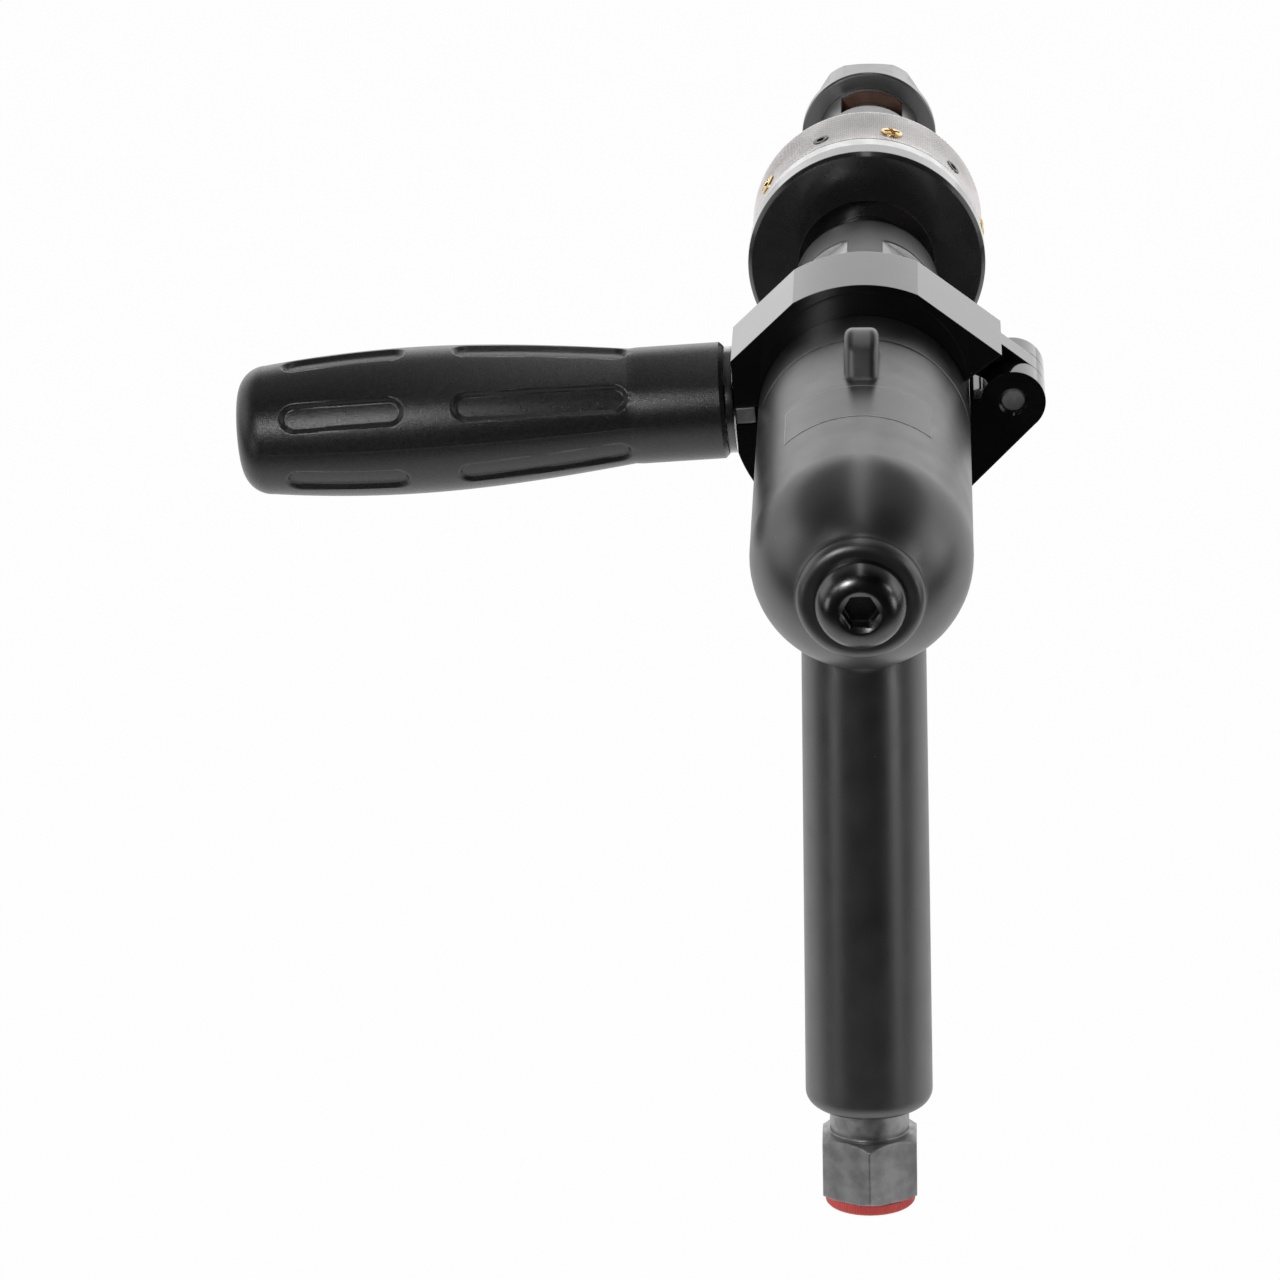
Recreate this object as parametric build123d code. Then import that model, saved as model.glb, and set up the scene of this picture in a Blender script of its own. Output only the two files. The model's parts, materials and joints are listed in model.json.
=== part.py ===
from build123d import *
import math
import os

# Pneumatic tapping tool: a pistol-grip air motor with a two-stage planetary gear, a torque-limiting
# tapping chuck and a clamp-on side handle. Millimetres. The barrel lies along Y with the chuck at the
# front, Z is up and the side handle points to -X. Stations are measured forwards along the barrel from
# the rear boss face; the finished pieces are moved so that the origin is at the mouth of the collet.

# Clearances
FIT = 0.02
RUN = 0.05
GAP = 0.3

# Turns that bring a corner of a hexagon or a square to the top
HEX_CORNER_UP = 30.0
SQUARE_CORNER_UP = 45.0

# Motor housing and grip
BARREL_DIAMETER = 51.0
HOUSING_LENGTH = 95.5
DOME_LENGTH = 25.5
BOSS_DIAMETER = 29.2
BOSS_HEIGHT = 4.0
BOSS_ROUND = 2.4
REAR_WALL = 20.0
MOTOR_BORE = 42.0
SPIGOT_LENGTH = 6.0
SPIGOT_WALL = 2.4
SEAM_CHAMFER = 0.3
GRIP_STATION = 48.0
GRIP_RAKE = 7.5
GRIP_LENGTH = 144.4
GRIP_TOP_DIAMETER = 28.7
GRIP_BOTTOM_DIAMETER = 30.3
GRIP_EDGE = 3.5
GRIP_BLEND = 5.0
LUG_SETBACK = 16.5
LUG_RADIUS = 6.4
LUG_WIDTH = 8.1
LUG_RISE = 2.5
LUG_FOOT = 9.0
LUG_BURY = 3.0
LUG_ROUND = 2.0
EYE_DIAMETER = 5.0
EYE_RISE = 0.6

# Rear plug screw
PLUG_THREAD = 12.0
PLUG_LENGTH = 16.0
PLUG_HEAD_DIAMETER = 21.0
PLUG_HEAD_HEIGHT = 6.0
PLUG_HEAD_FLAT = 11.0
PLUG_HEAD_EDGE = 1.0
PLUG_CROWN_BULGE = 1.2
PLUG_CROWN_HEIGHT = 4.1
PLUG_SOCKET = 7.4
PLUG_CONE_DIAMETER = 10.0
PLUG_CONE_DEPTH = 0.6
PLUG_SOCKET_DEPTH = 4.0

# Air motor
END_PLATE = 10.0
ROTOR_DIAMETER = 27.0
ROTOR_JOURNAL = 12.0
CYLINDER_BORE = 31.0
VANE_THICKNESS = 2.0
VANE_DEPTH = 7.0
VANE_COUNT = 5
ROTOR_BEARING_DIAMETER = 24.0
ROTOR_BEARING_WIDTH = 6.0
BEARING_RACE_SHARE = 0.25
BEARING_SHIELD_DEPTH = 0.5

# Planetary gears
MODULE = 0.9
SUN_TEETH = 12
PLANET_TEETH = 15
RING_TEETH = SUN_TEETH + 2 * PLANET_TEETH
PLANET_COUNT = 3
ADDENDUM = 0.54
DEDENDUM = 0.78
TIP_THICKNESS = 0.5
ROOT_THICKNESS = 1.2
RING_GEAR_DIAMETER = 44.0
FIRST_PLANET_WIDTH = 8.5
SECOND_PLANET_WIDTH = 9.0
FIRST_CARRIER_PLATE = 3.5
SECOND_CARRIER_PLATE = 4.5
PLANET_PIN = 5.0
CARRIER_MARGIN = 4.0
GEAR_SPACE = 0.5

# Front housing and spindle
NECK_DIAMETER = 36.9
NECK_FLATS = 31.4
NECK_COLLAR = 10.0
FRONT_HOUSING_LENGTH = 99.5
GEAR_CASE_LENGTH = 37.9
SPINDLE_DIAMETER = 15.0
SPINDLE_BEARING_DIAMETER = 28.0
SPINDLE_BEARING_WIDTH = 7.0
BEARING_SHOULDER = 2.5
SPACER_WALL = 2.0
RETAINER_WIDTH = 1.2
RETAINER_DEPTH = 1.2
SEAL_WIDTH = 6.0
SEAL_SETBACK = 3.0
CHUCK_TAPER_LARGE = 14.2
CHUCK_TAPER_SMALL = 12.4
CHUCK_TAPER_LENGTH = 22.0

# Tapping chuck
CHUCK_DISTANCE = 17.0
CHUCK_REACH = 121.0
CHUCK_DIAMETER = 61.0
CHUCK_DISC = 6.5
CHUCK_RECESS_DIAMETER = 35.0
CHUCK_RECESS_DEPTH = 8.0
CHUCK_WEB = 4.0
CHUCK_HUB_DIAMETER = 21.0
CHUCK_HUB_SETBACK = 2.0
CHUCK_SLEEVE_DIAMETER = 47.0
CHUCK_SLEEVE_BORE = 40.0
CHUCK_EDGE = 1.0
RING_DIAMETER = 59.8
RING_LENGTH = 27.6
RING_BAND = 5.5
RING_GROOVE_WIDTH = 1.0
RING_GROOVE_DEPTH = 0.5
RING_FRONT_WALL = 3.5
FRICTION_DISC = 2.0
HOLDER_FLANGE = 4.0
PRESSURE_PLATE = 3.0
SPRING_WASHER = 1.4
SPRING_WASHER_RISE = 1.6
SCREW_COUNT = 5
SCREW_STATION = 12.0
BRASS_SCREW_DIAMETER = 5.5
DARK_SCREW_DIAMETER = 4.2
BRASS_SCREW_PROUD = 1.2
SCREW_LENGTH = 3.0
BRASS_SCREW_ANGLE = 77.0
DARK_SCREW_ANGLE = 113.0
SCREW_SOCKET = 2.0
SCREW_SOCKET_DEPTH = 1.5

# Collet holder, jaws, collet and nut
HOLDER_DIAMETER = 27.6
HOLDER_BORE = 21.4
HOLDER_NOSE_DIAMETER = 25.0
HOLDER_NOSE_LENGTH = 11.5
WINDOW_WIDTH = 16.5
WINDOW_LENGTH = 13.2
WINDOW_RIM = 1.0
WINDOW_TURN = 5.0
WINDOW_DEPTH = 6.0
JAW_LENGTH = 14.0
JAW_WIDTH = 8.2
JAW_ROUNDING = 1.0
JAW_SQUARE = 6.3
JAW_SPLIT = 1.0
JAW_SQUARE_TURN = 45.0
NUT_LENGTH = 22.4
NUT_COLLAR_DIAMETER = 36.4
NUT_COLLAR_LENGTH = 3.5
NUT_TURNED_DIAMETER = 34.6
NUT_FLATS = 31.9
NUT_HEX_LENGTH = 14.4
NUT_NOSE_DIAMETER = 23.0
NUT_REAR_CHAMFER = 0.5
NUT_FRONT_CHAMFER = 1.3
NUT_MOUTH_DIAMETER = 17.0
NUT_LIP = 2.0
COLLET_BORE = 8.1
COLLET_KEY = 1.6
COLLET_KEY_DROP = 0.4

# Side-handle clamp
CLAMP_SETBACK = 15.2
CLAMP_WIDTH = 22.6
CLAMP_TILT = 3.4
CLAMP_OUTER_RADIUS = 33.3
CLAMP_LOWER_RADIUS = 32.0
CLAMP_SPLIT = 4.7
CLAMP_END = 31.0
CLAMP_RISE = 1.55
CLAMP_LEFT_HEIGHT = 15.9
CLAMP_RIGHT_HEIGHT = 12.9
CLAMP_RIGHT_SHOULDER = 34.0
CLAMP_LEAF_FOOT_X = 24.7
CLAMP_LEAF_FOOT_Z = 6.6
CLAMP_FLANK_X = 15.0
HINGE_X = 36.0
HINGE_Z = 0.6
KNUCKLE_RADIUS = 7.8
KNUCKLE_UPPER_SLANT = 48.0
KNUCKLE_LOWER_SLANT = -42.0
CLAMP_BLEND = 2.0
CLAMP_EAR_FOOT = -0.4
CLAMP_EAR_STEP = 1.1
CLAMP_EAR_RISE = 2.2
HINGE_PIN_DIAMETER = 5.8
HINGE_COUNTERSINK = 0.6
HINGE_PIN_RECESS = 1.2
KNUCKLE_MIDDLE = 7.4
STUD_DIAMETER = 8.0
STUD_BAR_WIDTH = 9.0
STUD_BAR_THICKNESS = 9.0
STUD_BAR_DEPTH = 2.6
STUD_REACH = 30.0
CUP_DIAMETER = 26.0
CUP_WIDTH = 1.8

# Side handle
HANDLE_LENGTH = 119.0
HANDLE_COLLAR_DIAMETER = 28.3
HANDLE_COLLAR_LENGTH = 21.0
HANDLE_COLLAR_EDGE = 1.0
HANDLE_STEP = 2.0
HANDLE_WAIST_SLOPE = 0.12
HANDLE_END_SLOPE = -0.12
HANDLE_WAIST_DIAMETER = 28.0
HANDLE_SWELL_DIAMETER = 35.7
HANDLE_END_DIAMETER = 31.5
HANDLE_END_ROUND = 7.0
HANDLE_SWELL_FROM_END = 47.0
HANDLE_INSERT_DIAMETER = 15.0
HANDLE_INSERT_LENGTH = 32.0
FLUTE_COUNT = 6
FLUTE_WIDTH = 7.4
FLUTE_DEPTH = 0.9
OUTER_FLUTE_LENGTH = 30.5
INNER_FLUTE_LENGTH = 42.5
OUTER_FLUTE_FROM_END = 26.7
INNER_FLUTE_FROM_END = 74.8

# Triggers and valves
TRIGGER_DROP = 47.0
TRIGGER_PITCH = 21.0
TRIGGER_WIDTH = 14.0
TRIGGER_HEIGHT = 18.0
TRIGGER_DEPTH = 7.5
TRIGGER_HOLLOW = 2.0
TRIGGER_ROUND = 1.5
TRIGGER_TRAVEL = 4.0
PLUNGER_INSERTION = 3.0
VALVE_BORE = 11.0
VALVE_BORE_WALL = 4.0
VALVE_GUIDE_LENGTH = 6.0
VALVE_STEM = 4.8
VALVE_HEAD = 9.0
VALVE_HEAD_LENGTH = 3.0
SPRING_OUTSIDE = 8.4
SPRING_WALL = 1.0
AIR_PASSAGE = 7.0
AIR_PASSAGE_OFFSET = 5.0

# Air inlet and dust cap
INLET_STEM_DIAMETER = 15.0
INLET_STEM_LENGTH = 16.0
INLET_NECK_DIAMETER = 18.9
INLET_NECK_LENGTH = 6.9
INLET_FLATS = 22.4
INLET_HEX_LENGTH = 15.4
INLET_TOP_CHAMFER = 2.0
INLET_TOP_CHAMFER_LENGTH = 1.6
INLET_BOTTOM_CHAMFER = 1.2
INLET_BOTTOM_CHAMFER_LENGTH = 0.6
INLET_THREAD_DIAMETER = 11.8
INLET_THREAD_LENGTH = 18.0
INLET_MOUTH_DIAMETER = 13.4
INLET_AIR_HOLE = 11.0
STRAINER_LENGTH = 10.0
STRAINER_WALL = 0.8
CAP_FLANGE_DIAMETER = 21.4
CAP_FLANGE_LENGTH = 2.7
CAP_PLUG_LENGTH = 5.0
CAP_PLUG_WALL = 1.6
CAP_PLUG_CLEARANCE = 0.1

# Stations worked out from the sizes above
SPIGOT_END = HOUSING_LENGTH + SPIGOT_LENGTH
LUG_STATION = HOUSING_LENGTH - LUG_SETBACK
CLAMP_STATION = HOUSING_LENGTH + CLAMP_SETBACK
CYLINDER_START = REAR_WALL + END_PLATE
CYLINDER_END = SPIGOT_END - END_PLATE
FIRST_PLANET_START = SPIGOT_END + 2 * GEAR_SPACE
FIRST_PLANET_END = FIRST_PLANET_START + FIRST_PLANET_WIDTH
FIRST_CARRIER_START = FIRST_PLANET_END + GEAR_SPACE
FIRST_CARRIER_END = FIRST_CARRIER_START + FIRST_CARRIER_PLATE
SECOND_PLANET_START = FIRST_CARRIER_END + GEAR_SPACE
SECOND_PLANET_END = SECOND_PLANET_START + SECOND_PLANET_WIDTH
SECOND_CARRIER_START = SECOND_PLANET_END + GEAR_SPACE
SECOND_CARRIER_END = SECOND_CARRIER_START + SECOND_CARRIER_PLATE
RING_GEAR_END = SECOND_CARRIER_START + GEAR_SPACE
NECK_START = HOUSING_LENGTH + GEAR_CASE_LENGTH
NECK_END = HOUSING_LENGTH + FRONT_HOUSING_LENGTH
REAR_BEARING_START = SECOND_CARRIER_END + GEAR_SPACE
REAR_BEARING_END = REAR_BEARING_START + SPINDLE_BEARING_WIDTH
FRONT_BEARING_END = NECK_END - SEAL_SETBACK - SEAL_WIDTH - GEAR_SPACE - RETAINER_WIDTH - GEAR_SPACE
FRONT_BEARING_START = FRONT_BEARING_END - SPINDLE_BEARING_WIDTH
CHUCK_REAR_STATION = NECK_END + CHUCK_DISTANCE
CHUCK_HUB_START = CHUCK_REAR_STATION + CHUCK_HUB_SETBACK
CHUCK_WEB_START = CHUCK_REAR_STATION + CHUCK_RECESS_DEPTH
CHUCK_WEB_END = CHUCK_WEB_START + CHUCK_WEB
RING_START = CHUCK_REAR_STATION + CHUCK_DISC + GAP
RING_END = RING_START + RING_LENGTH
RING_WALL_START = RING_END - RING_FRONT_WALL
FLANGE_START = CHUCK_WEB_END + FRICTION_DISC + GAP
FLANGE_END = FLANGE_START + HOLDER_FLANGE
FRONT_DISC_START = FLANGE_END + GAP
PRESSURE_START = FRONT_DISC_START + FRICTION_DISC
PRESSURE_END = PRESSURE_START + PRESSURE_PLATE
CHUCK_SLEEVE_END = RING_WALL_START - GAP
HUB_END = CHUCK_HUB_START + CHUCK_TAPER_LENGTH + 2 * GEAR_SPACE
NOSE_STATION = CHUCK_REAR_STATION + CHUCK_REACH
NUT_START = NOSE_STATION - NUT_LENGTH
HOLDER_NOSE_START = NUT_START - GAP
HOLDER_END = HOLDER_NOSE_START + HOLDER_NOSE_LENGTH
WINDOW_END = NUT_START - WINDOW_RIM
WINDOW_START = WINDOW_END - WINDOW_LENGTH
COLLET_START = WINDOW_END - COLLET_KEY
JAW_END = COLLET_START - GAP
CLAMP_END_STATION = CLAMP_STATION + CLAMP_WIDTH
CLAMP_MIDDLE = CLAMP_STATION + CLAMP_WIDTH / 2
HANDLE_START = CLAMP_END + CUP_WIDTH + 2 * GAP
PLANET_ORBIT = MODULE * (SUN_TEETH + PLANET_TEETH) / 2

# Frames of the raked grip, the tilted clamp and the side handle
GRIP_FRAME = Pos(0, GRIP_STATION, 0) * Rot(-GRIP_RAKE, 0, 0)
CLAMP_FRAME = Rot(0, -CLAMP_TILT, 0)
HANDLE_FRAME = CLAMP_FRAME * Pos(0, CLAMP_MIDDLE, CLAMP_RISE)
PARTS = {}


def keep(name, piece):
    PARTS[name] = Pos(0, -NOSE_STATION, 0) * piece


def turned(*points):
    return revolve(make_face(Polyline(*points, close=True)), Axis.Y)


def tube(outer, inner, start, end):
    return turned((inner / 2, start), (outer / 2, start), (outer / 2, end), (inner / 2, end))


def rod(diameter, start, end):
    return tube(diameter, 0, start, end)


def slab(sketch, start, end):
    return extrude(Plane.XZ.offset(-end) * sketch, end - start)


def around(piece, count, first=0.0):
    return [Rot(0, first + 360 * index / count, 0) * piece for index in range(count)]


def grip_tube(outer, inner, low, high, forward=0.0):
    ring = Circle(outer / 2)
    if inner:
        ring -= Circle(inner / 2)
    return Pos(0, forward, low) * extrude(ring, high - low)


def cross_tube(outer, inner, rear, front, height):
    ring = Circle(outer / 2)
    if inner:
        ring -= Circle(inner / 2)
    return Pos(0, 0, height) * slab(ring, rear, front)


# Toothed outlines
def tooth_points(teeth, root, tip, phase):
    points = []
    for index in range(teeth):
        middle = phase + 2 * math.pi * index / teeth
        root_half = ROOT_THICKNESS / 2 / root
        tip_half = TIP_THICKNESS / 2 / tip
        points.append((root * math.cos(middle - root_half), root * math.sin(middle - root_half)))
        points.append((tip * math.cos(middle - tip_half), tip * math.sin(middle - tip_half)))
        points.append((tip * math.cos(middle + tip_half), tip * math.sin(middle + tip_half)))
        points.append((root * math.cos(middle + root_half), root * math.sin(middle + root_half)))
    return points


def gear(teeth, start, end):
    pitch = MODULE * teeth / 2
    outline = tooth_points(teeth, pitch - DEDENDUM, pitch + ADDENDUM, 0)
    return slab(make_face(Polyline(*outline, close=True)), start, end)


# Motor housing
def barrel_shell():
    radius = BARREL_DIAMETER / 2
    boss = BOSS_DIAMETER / 2
    drop = radius - boss
    rise = DOME_LENGTH - BOSS_HEIGHT
    dome_radius = (drop**2 + rise**2) / (2 * drop)
    half_turn = math.atan2(rise, dome_radius - drop) / 2
    dome_middle = (
        radius - dome_radius + dome_radius * math.cos(half_turn),
        DOME_LENGTH - dome_radius * math.sin(half_turn),
    )
    outline = [
        Polyline((0, 0), (boss - BOSS_ROUND, 0)),
        RadiusArc((boss - BOSS_ROUND, 0), (boss, BOSS_ROUND), -BOSS_ROUND),
        Line((boss, BOSS_ROUND), (boss, BOSS_HEIGHT)),
        ThreePointArc((boss, BOSS_HEIGHT), dome_middle, (radius, DOME_LENGTH)),
        Polyline((radius, DOME_LENGTH), (radius, HOUSING_LENGTH - SEAM_CHAMFER)),
        Polyline((radius, HOUSING_LENGTH - SEAM_CHAMFER), (radius - SEAM_CHAMFER, HOUSING_LENGTH)),
        Polyline((radius - SEAM_CHAMFER, HOUSING_LENGTH), (0, HOUSING_LENGTH), (0, 0)),
    ]
    return revolve(make_face(outline), Axis.Y)


def grip_solid():
    bottom = Pos(0, 0, -GRIP_LENGTH) * Circle(GRIP_BOTTOM_DIAMETER / 2)
    shaft = loft([bottom, Circle(GRIP_TOP_DIAMETER / 2)])
    shaft = fillet(shaft.edges().sort_by(Axis.Z)[0], GRIP_EDGE)
    return GRIP_FRAME * shaft


def is_lug_rim(edge):
    centre = edge.center()
    on_side = abs(abs(centre.X) - LUG_WIDTH / 2) < FIT
    return on_side and centre.Z > BARREL_DIAMETER / 2 - LUG_BURY


def hanger_lug():
    surface = BARREL_DIAMETER / 2
    height = surface + LUG_RISE
    slant = math.acos(LUG_RADIUS / math.hypot(LUG_FOOT, LUG_RISE)) - math.atan2(LUG_RISE, LUG_FOOT)
    touch = LUG_RADIUS * math.cos(slant)
    touch_height = height + LUG_RADIUS * math.sin(slant)
    sole = LUG_FOOT + LUG_BURY * math.tan(slant)
    cheek = Polyline(
        (-sole, surface - LUG_BURY),
        (-touch, touch_height),
        (touch, touch_height),
        (sole, surface - LUG_BURY),
        close=True,
    )
    side = make_face(cheek) + Pos(0, height) * Circle(LUG_RADIUS)
    body = extrude(Plane.YZ * Pos(LUG_STATION, 0) * side, LUG_WIDTH / 2, both=True)
    body = fillet([edge for edge in body.edges() if is_lug_rim(edge)], LUG_ROUND)
    hole = Pos(LUG_STATION, height + EYE_RISE) * Circle(EYE_DIAMETER / 2)
    return body - extrude(Plane.YZ * hole, LUG_WIDTH, both=True)


def trigger_heights():
    return [-TRIGGER_DROP, -TRIGGER_DROP - TRIGGER_PITCH]


def grip_front(height):
    taper = (GRIP_BOTTOM_DIAMETER - GRIP_TOP_DIAMETER) / 2
    return GRIP_TOP_DIAMETER / 2 - taper * height / GRIP_LENGTH


def valve_bore_rear():
    return -GRIP_TOP_DIAMETER / 2 + VALVE_BORE_WALL


def make_motor_housing():
    body = barrel_shell() + grip_solid() + hanger_lug()
    seam = [edge for edge in body.edges() if is_grip_seam(edge)]
    body = fillet(seam, GRIP_BLEND)
    body += tube(MOTOR_BORE + 2 * SPIGOT_WALL, MOTOR_BORE, HOUSING_LENGTH, SPIGOT_END)
    body -= rod(MOTOR_BORE, REAR_WALL, SPIGOT_END)
    body -= rod(PLUG_THREAD, 0, REAR_WALL)
    inlet_top = -GRIP_LENGTH + INLET_STEM_LENGTH + STRAINER_LENGTH
    body -= GRIP_FRAME * grip_tube(INLET_STEM_DIAMETER, 0, -GRIP_LENGTH, inlet_top + GAP)
    body -= GRIP_FRAME * grip_tube(AIR_PASSAGE, 0, inlet_top, -MOTOR_BORE / 4, -AIR_PASSAGE_OFFSET)
    for height in trigger_heights():
        body -= GRIP_FRAME * cross_tube(VALVE_BORE, 0, valve_bore_rear(), GRIP_TOP_DIAMETER, height)
    keep("motor_housing", body)


def is_grip_seam(edge):
    if edge.geom_type in (GeomType.LINE, GeomType.CIRCLE):
        return False
    box = edge.bounding_box()
    return box.max.Z < 0 and box.min.Z > -BARREL_DIAMETER and box.size.X > GRIP_TOP_DIAMETER / 3


def make_plug_screw():
    head = PLUG_HEAD_DIAMETER / 2
    flat = PLUG_HEAD_FLAT / 2
    crown = ((head + flat) / 2 + PLUG_CROWN_BULGE, -PLUG_CROWN_HEIGHT)
    top_edge = (flat, -PLUG_HEAD_HEIGHT)
    rim = (head, -PLUG_HEAD_EDGE)
    outline = [
        Polyline(rim, (head, 0), (0, 0), (0, -PLUG_HEAD_HEIGHT), top_edge),
        ThreePointArc(top_edge, crown, rim),
    ]
    screw = revolve(make_face(outline), Axis.Y)
    screw += rod(PLUG_THREAD - 2 * FIT, 0, PLUG_LENGTH)
    socket = RegularPolygon(PLUG_SOCKET / 2, 6, major_radius=False)
    screw -= slab(socket, -PLUG_HEAD_HEIGHT, -PLUG_HEAD_HEIGHT + PLUG_SOCKET_DEPTH)
    cone_end = -PLUG_HEAD_HEIGHT + PLUG_CONE_DEPTH
    screw -= turned(
        (0, -PLUG_HEAD_HEIGHT),
        (PLUG_CONE_DIAMETER / 2, -PLUG_HEAD_HEIGHT),
        (PLUG_SOCKET / 2, cone_end),
        (0, cone_end),
    )
    keep("rear_plug_screw", screw)


# Air motor
def bearing(outer, inner, start, end):
    lip = (outer - inner) / 2 * BEARING_RACE_SHARE
    groove = BEARING_SHIELD_DEPTH
    return turned(
        (inner / 2, start),
        (inner / 2 + lip, start),
        (inner / 2 + lip, start + groove),
        (outer / 2 - lip, start + groove),
        (outer / 2 - lip, start),
        (outer / 2, start),
        (outer / 2, end),
        (outer / 2 - lip, end),
        (outer / 2 - lip, end - groove),
        (inner / 2 + lip, end - groove),
        (inner / 2 + lip, end),
        (inner / 2, end),
    )


def make_motor():
    outside = ROTOR_BEARING_DIAMETER - 2 * FIT
    inside = ROTOR_JOURNAL + 2 * RUN
    front_pocket = SPIGOT_END - ROTOR_BEARING_WIDTH
    for name, face, pocket in (("rear", REAR_WALL, REAR_WALL), ("front", CYLINDER_END, front_pocket)):
        pocket_end = pocket + ROTOR_BEARING_WIDTH
        plate = tube(MOTOR_BORE - 2 * FIT, ROTOR_JOURNAL + 2 * GAP, face, face + END_PLATE)
        keep(f"{name}_end_plate", plate - rod(ROTOR_BEARING_DIAMETER, pocket, pocket_end))
        keep(f"{name}_rotor_bearing", bearing(outside, inside, pocket, pocket_end))
    offset = CYLINDER_BORE / 2 - ROTOR_DIAMETER / 2 - GAP
    liner = rod(MOTOR_BORE - 2 * FIT, CYLINDER_START, CYLINDER_END)
    liner -= Pos(0, 0, -offset) * rod(CYLINDER_BORE, CYLINDER_START, CYLINDER_END)
    keep("motor_cylinder", liner)
    make_rotor()


def make_rotor():
    start = CYLINDER_START + GAP
    end = CYLINDER_END - GAP
    rotor = rod(ROTOR_DIAMETER, start, end)
    reach = ROTOR_DIAMETER / 2
    slot_middle = Pos(reach - VANE_DEPTH / 2, 0) * Rectangle(VANE_DEPTH, VANE_THICKNESS)
    rotor -= around(slab(slot_middle, start, end), VANE_COUNT)
    vane = Pos(reach - VANE_DEPTH / 2, 0) * Rectangle(VANE_DEPTH - 2 * GAP, VANE_THICKNESS - 2 * FIT)
    keep("vanes", Compound(around(slab(vane, start, end), VANE_COUNT)))
    rotor += rod(ROTOR_JOURNAL, REAR_WALL + GAP, start)
    rotor += rod(ROTOR_JOURNAL, end, SPIGOT_END + GAP)
    rotor += gear(SUN_TEETH, SPIGOT_END + GAP, FIRST_PLANET_END)
    keep("rotor", rotor)


# Planetary gears
def make_planets(stage, start, end):
    wheel = gear(PLANET_TEETH, start, end) - rod(PLANET_PIN + 2 * RUN, start, end)
    placed = around(Pos(PLANET_ORBIT, 0, 0) * wheel, PLANET_COUNT)
    for index, planet in enumerate(placed):
        keep(f"{stage}_planet_{index + 1}", planet)


def planet_pins(start, end):
    return Compound(around(Pos(PLANET_ORBIT, 0, 0) * rod(PLANET_PIN, start, end), PLANET_COUNT))


def carrier_holes(start, end):
    return around(Pos(PLANET_ORBIT, 0, 0) * rod(PLANET_PIN, start, end), PLANET_COUNT)


def make_gears():
    pitch = MODULE * RING_TEETH / 2
    half_tooth = math.pi / RING_TEETH
    teeth = tooth_points(RING_TEETH, pitch + DEDENDUM, pitch - ADDENDUM, half_tooth)
    ring = slab(Circle(RING_GEAR_DIAMETER / 2 - FIT), SPIGOT_END, RING_GEAR_END)
    keep("ring_gear", ring - slab(make_face(Polyline(*teeth, close=True)), SPIGOT_END, RING_GEAR_END))
    make_planets("first", FIRST_PLANET_START, FIRST_PLANET_END)
    make_planets("second", SECOND_PLANET_START, SECOND_PLANET_END)
    carrier_diameter = 2 * PLANET_ORBIT + 2 * CARRIER_MARGIN
    first = rod(carrier_diameter, FIRST_CARRIER_START, FIRST_CARRIER_END)
    first += gear(SUN_TEETH, FIRST_CARRIER_END, SECOND_PLANET_END)
    first -= carrier_holes(FIRST_CARRIER_START, FIRST_CARRIER_END)
    keep("first_carrier", first)
    keep("first_planet_pins", planet_pins(FIRST_PLANET_START, FIRST_CARRIER_END))
    keep("second_planet_pins", planet_pins(SECOND_PLANET_START, SECOND_CARRIER_END))
    spindle = rod(carrier_diameter, SECOND_CARRIER_START, SECOND_CARRIER_END)
    spindle -= carrier_holes(SECOND_CARRIER_START, SECOND_CARRIER_END)
    spindle += rod(SPINDLE_DIAMETER, SECOND_CARRIER_END, CHUCK_HUB_START - GAP)
    spindle += turned(
        (0, CHUCK_HUB_START - GAP),
        (CHUCK_TAPER_LARGE / 2, CHUCK_HUB_START - GAP),
        (CHUCK_TAPER_SMALL / 2, CHUCK_HUB_START + CHUCK_TAPER_LENGTH),
        (0, CHUCK_HUB_START + CHUCK_TAPER_LENGTH),
    )
    groove = SPINDLE_DIAMETER - 2 * RETAINER_DEPTH
    spindle -= tube(SPINDLE_DIAMETER, groove, FRONT_BEARING_END, FRONT_BEARING_END + RETAINER_WIDTH)
    keep("output_spindle", spindle)


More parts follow.
